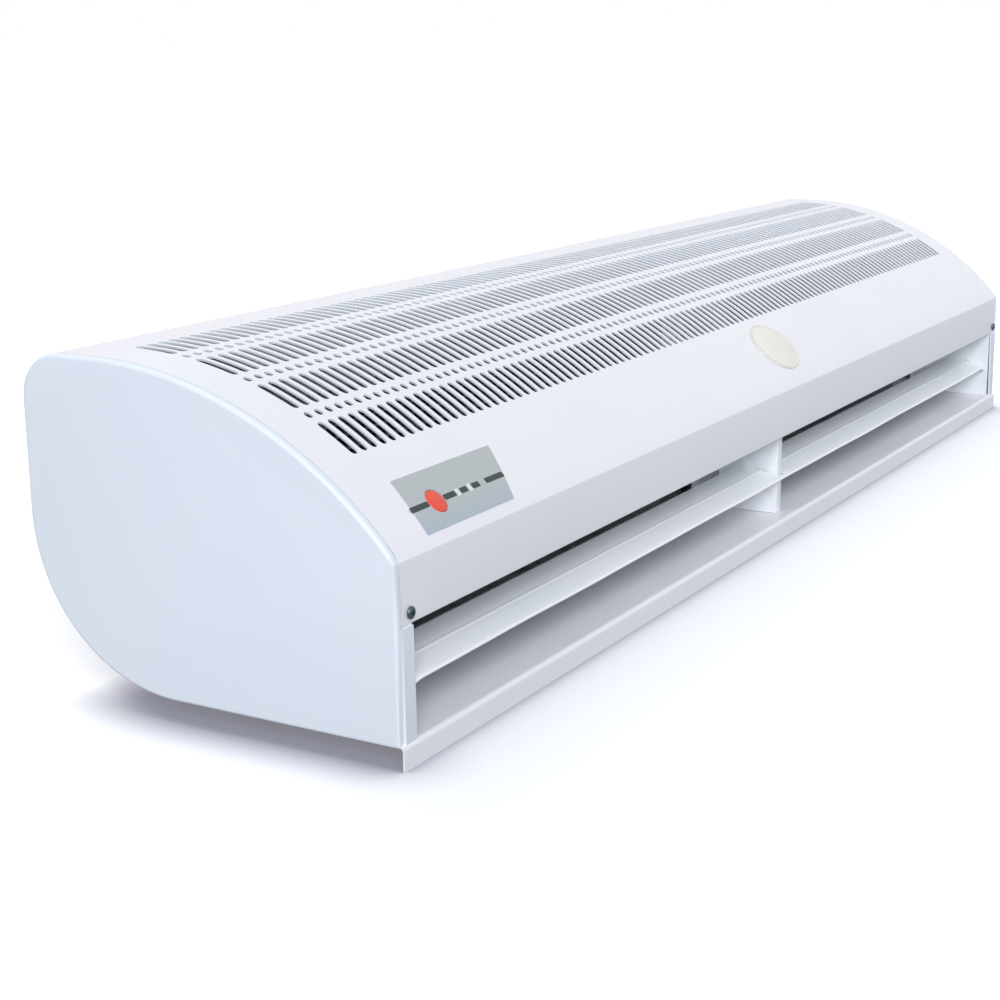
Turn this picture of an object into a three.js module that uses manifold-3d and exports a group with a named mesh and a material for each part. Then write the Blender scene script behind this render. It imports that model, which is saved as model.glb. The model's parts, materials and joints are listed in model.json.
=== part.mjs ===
// Air curtain: a sheet-metal case with a slotted curved cover, a cross-flow fan on a
// double-ended motor shaft, and a full-length outlet with one adjustable vane.
// Millimetres. The unit lies on its wall side: +Z points away from the wall, the outlet
// faces -Y and X runs along the length. The origin is under the middle of the unit.
import * as THREE from 'three';
import { mergeGeometries, mergeVertices } from 'three/addons/utils/BufferGeometryUtils.js';
import Module from 'manifold-3d';

const wasm = await Module();
wasm.setup();

// ---- Case ----
const caseLength = 1200;
const caseDepth = 268; // outlet face to the opposite long side
const caseHeight = 205.5; // wall face to the crown of the cover
const wallStandoff = 14; // wall to the flat back of the case
const foldHeight = 107; // flat back to the fold between cover and band
const bandHeight = 38;
const crownSetback = 53; // opposite long side to the start of the curve at the crown
const backCornerRadius = 108;
const crownCornerRadius = 28;
const skirtDrop = 13.5; // end of the crown's curve to the lower edge of the cover at the rear
const sheet = 1.2; // steel sheet of cover and back shell
const gap = 0.3; // between neighbouring pieces
const cornerSteps = 5;
const backCornerSteps = 9;
const cutReach = 8; // how far a cutter goes through a sheet

// ---- Back shell ----
const joggleHeight = 12; // overlap of the shell behind the cover skirt
const lipBendRadius = 2;
const lipEndSetback = 1.5; // lip end to the end of the case
const screwHeadHeight = 2.2; // also how far the lip stands in front of the outlet face

// ---- End panels ----
const panelPlate = 1.5;
const panelRim = 5.5; // width of the rolled edge
const panelRimWall = 2;
const panelRollRadius = 4;
const panelRollSteps = 3;
const flangeDepth = 17; // end of the case to the inner edge of its flanges

// ---- Intake slots ----
const firstRowFromFold = 72.5; // along the cover
const slotLength = 30.5;
const slotRowPitch = 46.4;
const slotRows = 4;
const slotWidth = 8;
const slotPitch = 25.5;
const slotEndMargin = 44; // least distance from the end of the case to a slot's centre
const rowMargin = 4; // slot end to the crease beside it

// ---- Outlet ----
const ductSheet = 1;
const ceilingFlange = 10; // inward flange along the bottom of the band
const ceilingRun = 60; // outlet face to the first crease of the ceiling
const ceilingRise = 3;
const tongueGap = 7; // tongue to the wheel
const tongueRise = 14;
const tongueTip = 24;
const tongueLean = 5;
const ribOffset = -7; // centre of the rib from mid-length
const ribWidth = 10;
const ribSetback = 10.5; // outlet face to the rib
const ribDepth = 52;

// ---- Vane ----
const vaneFrontSetback = 5;
const vaneChord = 40;
const vaneFrontHeight = 32.4; // flat back to the underside of the front edge
const vaneRise = 5.4;
const vaneCamber = 0.8;
const vaneSheet = 1.2;
const vaneEndGap = 0.7; // vane to the bush
const vaneHubRadius = 4.6;
const vaneRodRadius = 2.5;
const vaneRodOverhang = 4;
const vaneSteps = 6;
const bushSides = 16;
const bushWall = 1.6;
const bushFlangeWidth = 1.8;
const bushFlangeThickness = 0.7;
const bushTail = 2;
const rodClearance = 0.9; // rod to its hole in the centre rib
const ribNotchGap = 2; // vane to the rib at each side

// ---- Fan ----
const axisDepth = 150; // outlet face to the fan axis
const axisDrop = 97.5; // crown of the cover to the fan axis
const wheelRadius = 55;
const wiringBay = 67; // end of the case to the bulkhead
const wheelBladeWidth = 13;
const wheelBladeThickness = 1.6;
const wheelBladeInset = 1.5; // blade to the rim of the discs
const wheelBladeLean = 0.42; // radians
const wheelBlades = 20;
const wheelDisc = 2.5;
const wheelEndGap = 8; // wheel to the plate beside it
const shaftRadius = 5;
const shaftSides = 24;
const shaftClearance = 4; // shaft to its hole in the motor plate
const bossRadius = 11;
const hubRadius = 20;
const hubLength = 22;
const hubFlange = 2;
const hubNose = 1; // hub inside the wheel past the face of its disc
const bearingRadius = 16;
const bearingNeckRadius = 11;
const bearingWidth = 12;
const bearingFlange = 3;
const bearingFlangeThickness = 1.5;
const stubOverhang = 3; // stub shaft past its bearing
const scrollGap = 8; // wheel to the start of the scroll
const scrollLift = 7; // flat back to the lowest point of the scroll
const scrollSteps = 8;
const scrollStartAngle = 0.534; // radians over the horizontal, at the back of the wheel
const scrollFootLead = 42; // fan axis to the foot of the scroll
const scrollFootRun = 8;
const scrollHem = 12; // upward hem along the back shell
const scrollHemRise = 8;
const plateThickness = 1.2;
const bulkheadSetback = 3; // tongue to the front edge of the fan plates
const motorBay = 134; // between the two motor plates

// ---- Motor ----
const motorRadius = 47;
const motorLength = 96;
const motorBellRadius = 36;
const motorBellDepth = 12;
const motorNoseRadius = 24;
const motorNoseDepth = 4;
const cradleWidth = 86;
const cradleRun = 84;
const saddleThickness = 10;
const saddleInset = 6;
const strapThickness = 1.5;
const strapEar = 13;
const saddleTopDrop = 8; // below the motor axis
const cradleBase = 2;
const cradleWindow = 43; // opening in each saddle
const cradleWindowHeight = 18;
const cradleWindowRise = 8;
const motorSides = 28;
const strapSteps = 16;

// ---- Controls ----
const labelLowFromFold = 7.5; // along the cover
const labelHighFromFold = 48;
const labelTopStart = 48.5; // along X from the left end
const labelTopEnd = 157;
const labelLowStart = 42.5;
const labelLowEnd = 138.5;
const labelCorner = 4;
const buttonStemSides = 16;
const labelThickness = 0.8;
const buttonStart = 70.5; // left end to the button centre
const buttonFromFold = 25.5;
const buttonRadius = 8;
const buttonProud = 1.6;
const buttonFlange = 10;
const buttonFlangeThickness = 1.5;
const buttonStemRadius = 3;
const buttonTravel = 1;
const boardDrop = 14; // cover to the board
const boardThickness = 1.6;
const boardLength = 88;
const boardWidth = 26;
const boardStart = 50; // left end to the board
const switchSize = 12;
const switchHeight = 6;
const standoffRadius = 2.4;
const standoffInset = 5;
const creaseLow = 12; // creases of the cover beside the label, from the fold
const creaseHigh = 40;

// ---- Badge ----
const badgeOffset = 20; // from mid-length
const badgeFromFold = 40;
const badgeHalfLength = 31;
const badgeHalfWidth = 24.5;
const badgeDome = 3.2;
const badgeRim = 0.6;
const badgeSpread = 1.2; // full dome to the outline that is cut from it

// ---- Electrical bay ----
const blockLength = 30;
const blockWidth = 45;
const blockHeight = 20;
const blockStart = 25;
const blockToEarth = 8; // block to the earth stud
const blockWays = 4;
const blockWayDepth = 7;
const blockWall = 3; // between two ways
const blockRidge = 4; // between the two rows of ways
const capacitorRadius = 16;
const capacitorLength = 56;
const capacitorRim = 2;
const capacitorSetback = 84; // opposite long side to the front end of the canister
const capacitorHeight = 68; // flat back to the canister axis
const clipWidth = 12;
const clipThickness = 1.2;
const clipFoot = 9;
const clipSteps = 12;
const roundSides = 20; // canister and grommet
const grommetStart = 40;
const grommetBelowSkirt = 28; // edge of the skirt to the cable entry
const grommetRadius = 11;
const grommetBore = 6;
const grommetFlange = 15;
const earthStart = 40;
const earthSetback = 9; // earth stud to the start of the back corner
const earthStudRadius = 2.5;
const earthStudHeight = 16;
const earthNutRadius = 5;
const earthNutHeight = 4;

// ---- Wall brackets and screws ----
const bracketFromMiddle = 330;
const bracketFace = 44; // width of the face on the wall
const bracketFlange = 18;
const bracketSheet = 2;
const bracketDepthStart = 42;
const bracketRun = 180;
const bracketHoleLength = 24;
const bracketHoleWidth = 9;
const bracketHoleInset = 40; // bracket end to the hole centre
const bracketScrewFront = 80; // outlet face to the first screw, on the flat of the back
const bracketScrewRear = 146;
const screwHeadRadius = 3.8;
const screwHeadTopRadius = 2.7;
const screwShankRadius = 1.9;
const screwShank = 8;
const screwSides = 12;
const bandScrewInset = 14; // end of the case to the screw
const bandScrewHeight = 7.5; // above the lower edge of the band
const skirtScrewInset = 120;
const skirtScrewHeight = 6; // above the lower edge of the skirt

// ---- Worked out from the sizes above ----
const middle = caseLength / 2;
const floorZ = wallStandoff; // flat back of the case
const floorTop = floorZ + sheet;
const onFloor = floorTop + gap;
const bandBottom = floorZ + foldHeight - bandHeight;
const skirtBottom = floorZ + caseHeight - crownCornerRadius - skirtDrop;
const crownY = caseDepth - crownSetback;
const crownRise = caseHeight - foldHeight;
const coverRadius = (crownY ** 2 + crownRise ** 2) / (2 * crownRise);
const arcCentre = { y: crownY, z: floorZ + caseHeight - coverRadius };
const foldAngle = Math.PI - Math.acos(crownY / coverRadius);
const axisHeight = caseHeight - axisDrop; // flat back to the fan axis
const axisZ = floorZ + axisHeight;
const flangeInset = sheet + gap; // hidden flanges lie behind cover and shell
const motorPlateX = middle - motorBay / 2;
const wheelStart = wiringBay + wheelEndGap;
const wheelLength = motorPlateX - wheelEndGap - wheelStart;
const tongueDepth = axisDepth - wheelRadius - tongueGap;
const bulkheadFront = tongueDepth + bulkheadSetback;
const ductSideInset = flangeDepth + gap;
const bushEnd = ductSheet + gap + bushFlangeThickness; // from the side plate's outer face
const vaneEndSetback = ductSideInset + bushEnd + vaneEndGap;
const grommetZ = skirtBottom - grommetBelowSkirt;

const finishes = {
  coatedWhite: { color: 0xe6e8ee, roughness: 0.42, metalness: 0 },
  coatedPanel: { color: 0xdce3ed, roughness: 0.45, metalness: 0 },
  galvanised: { color: 0xb9bec2, roughness: 0.4, metalness: 0.8 },
  darkWheel: { color: 0x3a4448, roughness: 0.6, metalness: 0.2 },
  motorGrey: { color: 0xcfd3d6, roughness: 0.45, metalness: 0.4 },
  shaftSteel: { color: 0x9aa0a4, roughness: 0.3, metalness: 0.9 },
  rubberBlack: { color: 0x22252a, roughness: 0.85, metalness: 0 },
  nylonWhite: { color: 0xe8e6de, roughness: 0.6, metalness: 0 },
  labelSilver: { color: 0xb8beC2, roughness: 0.4, metalness: 0.3 },
  buttonRed: { color: 0xf05537, roughness: 0.45, metalness: 0 },
  badgeCream: { color: 0xe6e2da, roughness: 0.35, metalness: 0 },
  boardGreen: { color: 0x1f5a3c, roughness: 0.6, metalness: 0 },
  switchBlack: { color: 0x2a2c30, roughness: 0.6, metalness: 0 },
  canisterWhite: { color: 0xd8dadc, roughness: 0.5, metalness: 0 },
  brass: { color: 0xc9a24a, roughness: 0.35, metalness: 0.9 },
  zincScrew: { color: 0x8f969c, roughness: 0.35, metalness: 0.9 },
};

const unit = new THREE.Group();
const xAxis = new THREE.Vector3(1, 0, 0);
const yAxis = new THREE.Vector3(0, 1, 0);
const zAxis = new THREE.Vector3(0, 0, 1);

// ---- Helpers ----
function toSolid(geometry) {
  const bare = geometry.index ? geometry.toNonIndexed() : geometry.clone();
  bare.deleteAttribute('normal');
  bare.deleteAttribute('uv');
  const merged = mergeVertices(bare, 1e-4);
  return new wasm.Manifold(new wasm.Mesh({
    numProp: 3,
    vertProperties: new Float32Array(merged.attributes.position.array),
    triVerts: new Uint32Array(merged.index.array),
  }));
}

function toGeometry(solid) {
  const mesh = solid.getMesh();
  const geometry = new THREE.BufferGeometry();
  geometry.setAttribute('position', new THREE.BufferAttribute(mesh.vertProperties, 3));
  geometry.setIndex(new THREE.BufferAttribute(mesh.triVerts, 1));
  return geometry;
}

const join = (...parts) => toGeometry(parts.map(toSolid).reduce((sum, part) => sum.add(part)));
const cut = (base, ...tools) => toGeometry(
  tools.map(toSolid).reduce((rest, tool) => rest.subtract(tool), toSolid(base)),
);
const common = (a, b) => toGeometry(toSolid(a).intersect(toSolid(b)));

function box(x, y, z, [x0, y0, z0]) {
  return new THREE.BoxGeometry(x, y, z).translate(x0 + x / 2, y0 + y / 2, z0 + z / 2);
}

// A tube or rod about a line parallel to X, starting at x.
function rodAlongX(radius, length, x, y, z, sides = shaftSides) {
  return new THREE.CylinderGeometry(radius, radius, length, sides)
    .rotateZ(-Math.PI / 2)
    .translate(x + length / 2, y, z);
}

// A turned piece about a line parallel to X: pairs of radius and place along X.
function turnedAlongX(profile, x, y, z, sides = shaftSides) {
  const points = [...profile, profile[0]].map(([radius, along]) => new THREE.Vector2(radius, along));
  return new THREE.LatheGeometry(points, sides)
    .rotateZ(-Math.PI / 2)
    .translate(x, y, z);
}

// A piece of constant section: the section is drawn in Y and Z and drawn out along X.
function drawnAlongX(section, length, x, bevel = { bevelEnabled: false }) {
  const shape = new THREE.Shape(section.map(([y, z]) => new THREE.Vector2(y, z)));
  return new THREE.ExtrudeGeometry(shape, { depth: length, ...bevel })
    .applyMatrix4(new THREE.Matrix4().makeBasis(yAxis, zAxis, xAxis))
    .translate(x, 0, 0);
}

// The section of a bent sheet: the path is one face, the other lies to its right.
function bentSheet(path, thickness) {
  const normals = path.slice(1).map(([y, z], i) => {
    const dy = y - path[i][0];
    const dz = z - path[i][1];
    const run = Math.hypot(dy, dz);
    return [dz / run, -dy / run];
  });
  const other = path.map(([y, z], i) => {
    const before = normals[Math.max(i - 1, 0)];
    const after = normals[Math.min(i, normals.length - 1)];
    const sum = [before[0] + after[0], before[1] + after[1]];
    const reach = thickness * 2 / (sum[0] ** 2 + sum[1] ** 2);
    return [y + sum[0] * reach, z + sum[1] * reach];
  });
  return [...path, ...other.reverse()];
}

function arc(y, z, radius, from, to, steps) {
  return Array.from({ length: steps + 1 }, (_, i) => {
    const angle = from + (to - from) * i / steps;
    return [y + radius * Math.cos(angle), z + radius * Math.sin(angle)];
  });
}

function addPart(name, geometry, finish) {
  const mesh = new THREE.Mesh(geometry, new THREE.MeshStandardMaterial(finishes[finish]));
  mesh.name = name;
  unit.add(mesh);
}

// Adds the piece at the left end and its mirror image at the right end.
function addPair(name, geometry, finish) {
  addPart(`${name}_left`, geometry, finish);
  const mirrored = toGeometry(toSolid(geometry).mirror([1, 0, 0])).translate(caseLength, 0, 0);
  addPart(`${name}_right`, mirrored, finish);
}

// ---- Case outline ----
// Distances along the cover from the fold, one crease at each.
function coverCreases() {
  const rows = Array.from({ length: slotRows }, (_, row) => firstRowFromFold + row * slotRowPitch);
  const rowCreases = rows.flatMap((start) => [start - rowMargin, start + slotLength + rowMargin]);
  const arcLength = coverRadius * (foldAngle - Math.PI / 2);
  const inside = [0, creaseLow, creaseHigh, ...rowCreases].filter((s) => s < arcLength - rowMargin);
  return [...inside, arcLength];
}

// A point of the cover at a distance from the fold, raised above it.
function coverPoint(fromFold, raised = 0) {
  const angle = foldAngle - fromFold / coverRadius;
  const radius = coverRadius + raised;
  return [arcCentre.y + radius * Math.cos(angle), arcCentre.z + radius * Math.sin(angle)];
}

// The curved top of the case from fold to rear, moved in by inset.
function coverCurve(inset) {
  const start = Math.PI - Math.acos((crownY - inset) / (coverRadius - inset));
  const creases = coverCreases().slice(1).map((s) => coverPoint(s, -inset));
  const fold = [
    arcCentre.y + (coverRadius - inset) * Math.cos(start),
    arcCentre.z + (coverRadius - inset) * Math.sin(start),
  ];
  const corner = arc(
    caseDepth - crownCornerRadius,
    floorZ + caseHeight - crownCornerRadius,
    crownCornerRadius - inset,
    Math.PI / 2,
    0,
    cornerSteps,
  );
  return [fold, ...creases, ...corner];
}

// The lower rear corner of the case, moved in by inset.
function backCorner(inset) {
  return arc(
    caseDepth - backCornerRadius,
    floorZ + backCornerRadius,
    backCornerRadius - inset,
    0,
    -Math.PI / 2,
    backCornerSteps,
  );
}

function caseOutline(inset) {
  return [[inset, floorZ + inset], ...coverCurve(inset), ...backCorner(inset)];
}

// Axes of the flat strip of the cover that carries the label and the button.
const labelStrip = (() => {
  const [lowY, lowZ] = coverPoint(creaseLow);
  const [highY, highZ] = coverPoint(creaseHigh);
  const along = new THREE.Vector3(1, 0, 0);
  const upSlope = new THREE.Vector3(0, highY - lowY, highZ - lowZ).normalize();
  const outward = new THREE.Vector3().crossVectors(along, upSlope);
  const share = (buttonFromFold - creaseLow) / (creaseHigh - creaseLow);
  const centre = new THREE.Vector3(buttonStart, lowY, lowZ).lerp(
    new THREE.Vector3(buttonStart, highY, highZ),
    share,
  );
  return { along, upSlope, outward, centre };
})();

// Moves a piece drawn about the button's centre, with its Z outward, onto the strip.
function onLabelStrip(geometry) {
  const { along, upSlope, outward, centre } = labelStrip;
  const place = new THREE.Matrix4().makeBasis(along, upSlope, outward).setPosition(centre);
  return geometry.applyMatrix4(place);
}

// A round piece on the strip between two heights over the cover.
function stripDisc(radius, low, high, sides = shaftSides, x = 0, y = 0) {
  const disc = new THREE.CylinderGeometry(radius, radius, high - low, sides)
    .rotateX(Math.PI / 2)
    .translate(x, y, (low + high) / 2);
  return onLabelStrip(disc);
}

// ---- Front cover ----
// Each row of slots lies in the flat strip between two creases.
function slotCutters() {
  const creases = coverCreases();
  const slotColumns = Math.floor((caseLength - 2 * slotEndMargin) / slotPitch) + 1;
  const cutters = [];
  for (let row = 0; row < slotRows; row += 1) {
    const start = firstRowFromFold + row * slotRowPitch;
    const low = creases.findLast((s) => s <= start);
    const high = creases.find((s) => s > start);
    const [y0, z0] = coverPoint(low);
    const [y1, z1] = coverPoint(high);
    const slope = Math.atan2(z1 - z0, y1 - y0);
    const share = (start + slotLength / 2 - low) / (high - low);
    for (let column = 0; column < slotColumns; column += 1) {
      const x = middle + (column - (slotColumns - 1) / 2) * slotPitch;
      cutters.push(new THREE.BoxGeometry(slotWidth, slotLength, cutReach)
        .rotateX(slope)
        .translate(x, y0 + (y1 - y0) * share, z0 + (z1 - z0) * share));
    }
  }
  return mergeGeometries(cutters);
}

function frontCover() {
  const path = [
    [ceilingFlange, bandBottom],
    [0, bandBottom],
    ...coverCurve(0),
    [caseDepth, skirtBottom],
  ];
  const length = caseLength - 2 * (panelRim + gap);
  const skin = drawnAlongX(bentSheet(path, sheet), length, panelRim + gap);
  const buttonHole = stripDisc(buttonRadius + gap, -cutReach / 2, cutReach / 2);
  return cut(skin, slotCutters(), buttonHole, bandScrewHoles(), skirtScrewHoles());
}
addPart('front_cover', frontCover(), 'coatedWhite');

// ---- Screws of the case ----
function screw() {
  const profile = [
    [0, -screwShank],
    [screwShankRadius, -screwShank],
    [screwShankRadius, 0],
    [screwHeadRadius, 0],
    [screwHeadTopRadius, screwHeadHeight - gap],
    [0, screwHeadHeight - gap],
  ];
  return new THREE.LatheGeometry(profile.map(([r, h]) => new THREE.Vector2(r, h)), screwSides);
}

// The head stands on the face, its axis along Y; side is -1 at the front and 1 at the rear.
function screwAlongY(x, faceY, z, side) {
  return screw()
    .rotateX(side > 0 ? 0 : Math.PI)
    .translate(x, faceY + side * gap, z);
}

// The hole for a screw's shank, its axis along Y.
function screwHole(length) {
  return new THREE.CylinderGeometry(screwShankRadius + gap, screwShankRadius + gap, length, screwSides);
}

function bandScrewHoles() {
  const z = bandBottom + bandScrewHeight;
  return mergeGeometries([bandScrewInset, caseLength - bandScrewInset]
    .map((x) => screwHole(2 * screwShank).translate(x, flangeInset, z)));
}

function skirtScrewHoles() {
  const z = skirtBottom + skirtScrewHeight;
  return mergeGeometries([skirtScrewInset, caseLength - skirtScrewInset]
    .map((x) => screwHole(2 * screwShank).translate(x, caseDepth - flangeInset, z)));
}

addPair('band_screw', screwAlongY(bandScrewInset, 0, bandBottom + bandScrewHeight, -1), 'zincScrew');
addPair(
  'skirt_screw',
  screwAlongY(skirtScrewInset, caseDepth, skirtBottom + skirtScrewHeight, 1),
  'zincScrew',
);

// ---- Back shell with the outlet floor and lip ----
function backShell() {
  const lipFace = -screwHeadHeight;
  const lipRear = lipFace + sheet;
  const bendY = lipRear + lipBendRadius;
  const bend = arc(bendY, floorZ - lipBendRadius, lipBendRadius, Math.PI / 2, Math.PI, 3);
  const path = [
    [caseDepth - flangeInset, skirtBottom + joggleHeight],
    [caseDepth - flangeInset, skirtBottom - gap],
    [caseDepth, skirtBottom - gap - flangeInset],
    ...backCorner(0),
    ...bend,
    [lipRear, 0],
  ];
  const length = caseLength - 2 * (panelRim + gap);
  const skin = drawnAlongX(bentSheet(path, sheet), length, panelRim + gap);
  const lipLength = caseLength - 2 * lipEndSetback;
  const lip = box(lipLength, sheet, floorZ - lipBendRadius, [lipEndSetback, lipFace, 0]);
  const holeRadius = grommetRadius + gap;
  const grommetHole = new THREE.CylinderGeometry(holeRadius, holeRadius, cutReach, roundSides)
    .translate(grommetStart, caseDepth, grommetZ);
  return cut(join(skin, lip), grommetHole, skirtScrewHoles(), bracketScrewHoles());
}

// ---- End panels ----
function endPanel() {
  const roll = {
    bevelEnabled: true,
    bevelThickness: panelRollRadius,
    bevelSize: panelRollRadius,
    bevelOffset: -panelRollRadius,
    bevelSegments: panelRollSteps,
  };
  const pillow = drawnAlongX(caseOutline(0), 2 * (panelRim - panelRollRadius), panelRollRadius, roll);
  const halfSpace = box(panelRim, 2 * caseDepth, 2 * caseHeight, [0, -caseDepth / 2, 0]);
  const outer = common(pillow, halfSpace);
  const hollow = drawnAlongX(caseOutline(panelRimWall), caseLength, panelPlate);
  const pan = cut(outer, hollow);
  // The flange stays clear of the flange under the band and of the joggle of the shell.
  const flange = cut(
    drawnAlongX(caseOutline(flangeInset), flangeDepth - panelPlate, panelPlate),
    drawnAlongX(caseOutline(flangeInset + sheet), 2 * flangeDepth, 0),
    box(2 * flangeDepth, ceilingFlange + gap + sheet, bandBottom + flangeInset - floorZ, [
      panelRim,
      -sheet,
      floorZ,
    ]),
    box(2 * flangeDepth, cutReach, joggleHeight + flangeInset + sheet + 2 * gap, [
      panelRim,
      caseDepth - cutReach,
      skirtBottom - flangeInset - sheet - gap,
    ]),
  );
  const frontFlange = box(flangeDepth - panelPlate, panelPlate, bandBottom - gap - onFloor, [
    panelPlate,
    0,
    onFloor,
  ]);
  return cut(join(pan, flange, frontFlange), bandScrewHoles());
}
addPair('end_panel', endPanel(), 'coatedPanel');

// ---- Wall brackets ----
function bracketCentres() {
  return [middle - bracketFromMiddle, middle + bracketFromMiddle];
}

function bracketScrewPlaces() {
  const reach = (bracketFace + bracketFlange) / 2;
  return bracketCentres().flatMap((x) => (
    [[x - reach, bracketScrewFront], [x + reach, bracketScrewRear]]
  ));
}

function bracketScrewHoles() {
  return mergeGeometries(bracketScrewPlaces().map(([x, y]) => (
    screwHole(2 * screwShank).rotateX(Math.PI / 2).translate(x, y, floorZ)
  )));
}
addPart('back_shell', backShell(), 'coatedWhite');

function wallBracket(x) {
  const half = bracketFace / 2;
  const top = floorZ - gap;
  const path = [
    [x + half + bracketFlange, top],
    [x + half, top],
    [x + half, 0],
    [x - half, 0],
    [x - half, top],
    [x - half - bracketFlange, top],
  ];
  const section = new THREE.Shape(
    bentHat(path).map(([across, up]) => new THREE.Vector2(across, up)),
  );
  const hat = new THREE.ExtrudeGeometry(section, { depth: bracketRun, bevelEnabled: false })
    .rotateX(Math.PI / 2)
    .translate(0, bracketDepthStart + bracketRun, 0);
  const slots = [bracketHoleInset, bracketRun - bracketHoleInset].map((along) => (
    box(bracketHoleWidth, bracketHoleLength, 4 * bracketSheet, [
      x - bracketHoleWidth / 2,
      bracketDepthStart + along - bracketHoleLength / 2,
      -2 * bracketSheet,
    ])
  ));
  return cut(hat, ...slots, bracketScrewHoles());
}

// The hat section: flanges under the case, webs, and the face on the wall.
function bentHat([flangeEnd, shoulder, foot, otherFoot, otherShoulder, otherEnd]) {
  const t = bracketSheet;
  return [
    flangeEnd,
    [shoulder[0] - t, shoulder[1]],
    [foot[0] - t, t],
    [otherFoot[0] + t, t],
    [otherShoulder[0] + t, otherShoulder[1]],
    otherEnd,
    [otherEnd[0], otherEnd[1] - t],
    [otherShoulder[0], otherShoulder[1] - t],
    otherFoot,
    foot,
    [shoulder[0], shoulder[1] - t],
    [flangeEnd[0], flangeEnd[1] - t],
  ];
}

['left', 'right'].forEach((side, i) => {
  addPart(`wall_bracket_${side}`, wallBracket(bracketCentres()[i]), 'galvanised');
});

bracketScrewPlaces().forEach(([x, y], i) => {
  const seat = floorZ - gap - bracketSheet - gap;
  const shape = screw()
    .rotateX(-Math.PI / 2)
    .translate(x, y, seat);
  addPart(`bracket_screw_${i + 1}`, shape, 'zincScrew');
});

// ---- Outlet duct ----
const ceilingZ = bandBottom + sheet + gap;

function ductCeiling() {
  const path = [
    [panelPlate + flangeInset, ceilingZ],
    [ceilingRun, ceilingZ + ceilingRise],
    [tongueDepth, ceilingZ + tongueRise],
    [tongueDepth - tongueLean, ceilingZ + tongueRise + tongueTip],
  ];
  const start = ductSideInset + ductSheet + gap;
  const upward = bentSheet([...path].reverse(), ductSheet);
  return drawnAlongX(upward, caseLength - 2 * start, start);
}
addPart('duct_ceiling', ductCeiling(), 'coatedWhite');

const bushRadius = vaneRodRadius + gap + bushWall;
const bushFlange = bushRadius + bushFlangeWidth;
const vanePivot = {
  y: vaneFrontSetback + vaneChord / 2,
  z: floorZ + vaneFrontHeight + vaneRise / 2 - vaneHubRadius / 2,
};

function ductSide() {
  const section = [
    [panelPlate + gap, onFloor],
    [tongueDepth, onFloor],
    [tongueDepth, ceilingZ + tongueRise],
    [ceilingRun, ceilingZ + tongueRise],
    [ceilingFlange + 2 * gap, ceilingZ + ceilingRise],
    [ceilingFlange + 2 * gap, bandBottom - gap],
    [panelPlate + gap, bandBottom - gap],
  ];
  const plate = drawnAlongX(section, ductSheet, ductSideInset);
  const hole = rodAlongX(bushRadius + gap, 2 * ductSideInset, 0, vanePivot.y, vanePivot.z, bushSides);
  return cut(plate, hole);
}

addPair('duct_side', ductSide(), 'coatedWhite');

function vaneBush() {
  const bore = vaneRodRadius + gap;
  return turnedAlongX([
    [bore, -bushTail],
    [bushRadius, -bushTail],
    [bushRadius, ductSheet + gap],
    [bushFlange, ductSheet + gap],
    [bushFlange, bushEnd],
    [bore, bushEnd],
  ], ductSideInset, vanePivot.y, vanePivot.z, bushSides);
}
addPair('vane_bush', vaneBush(), 'nylonWhite');

function centreRib() {
  const x = middle + ribOffset - ribWidth / 2;
  const height = ceilingZ - gap - onFloor;
  const outer = box(ribWidth, ribDepth, height, [x, ribSetback, onFloor]);
  const inner = box(ribWidth - 2 * ductSheet, ribDepth, 2 * height, [
    x + ductSheet,
    ribSetback + ductSheet,
    onFloor - height / 2,
  ]);
  const underBand = box(2 * ribWidth, ceilingFlange + gap, height, [
    x - ribWidth / 2,
    0,
    bandBottom - gap,
  ]);
  const holeRadius = vaneRodRadius + rodClearance;
  const rodHole = rodAlongX(holeRadius, 2 * ribWidth, x - ribWidth / 2, vanePivot.y, vanePivot.z);
  return cut(outer, inner, underBand, rodHole);
}
addPart('centre_rib', centreRib(), 'coatedWhite');

function ductBaffle() {
  const height = ceilingZ - gap - onFloor;
  const width = motorBay - 2 * ductSheet;
  return box(width, ductSheet, height, [middle - width / 2, ribSetback + ribDepth + gap, onFloor]);
}
addPart('duct_baffle', ductBaffle(), 'galvanised');

// ---- Vane ----
function outletVane() {
  const path = Array.from({ length: vaneSteps + 1 }, (_, i) => {
    const share = i / vaneSteps;
    const bow = vaneCamber * Math.sin(Math.PI * share);
    return [
      vaneFrontSetback + vaneChord * share,
      floorZ + vaneFrontHeight + vaneSheet + vaneRise * share + bow,
    ];
  });
  const length = caseLength - 2 * vaneEndSetback;
  const blade = drawnAlongX(bentSheet(path, vaneSheet), length, vaneEndSetback);
  const hub = rodAlongX(vaneHubRadius, length, vaneEndSetback, vanePivot.y, vanePivot.z, bushSides);
  const bore = rodAlongX(vaneRodRadius + gap, caseLength, 0, vanePivot.y, vanePivot.z, bushSides);
  const notchWidth = ribWidth + 2 * ribNotchGap;
  const notch = box(notchWidth, caseDepth, caseHeight, [
    middle + ribOffset - notchWidth / 2,
    ribSetback - ribNotchGap,
    0,
  ]);
  return cut(join(blade, hub), bore, notch);
}
addPart('outlet_vane', outletVane(), 'coatedWhite');
addPart('vane_rod', rodAlongX(
  vaneRodRadius,
  caseLength - 2 * (ductSideInset - vaneRodOverhang),
  ductSideInset - vaneRodOverhang,
  vanePivot.y,
  vanePivot.z,
  bushSides,
), 'shaftSteel');

// ---- Fan plates, bearings and scrolls ----
function fanPlateSection() {
  const inset = flangeInset + sheet + gap;
  const front = bulkheadFront;
  const curve = coverCurve(inset).filter(([y]) => y > front + sheet);
  const angle = Math.acos((front - arcCentre.y) / (coverRadius - inset));
  const top = [front, arcCentre.z + (coverRadius - inset) * Math.sin(angle) - gap];
  return [[front, onFloor], top, ...curve, ...backCorner(inset)];
}

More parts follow.
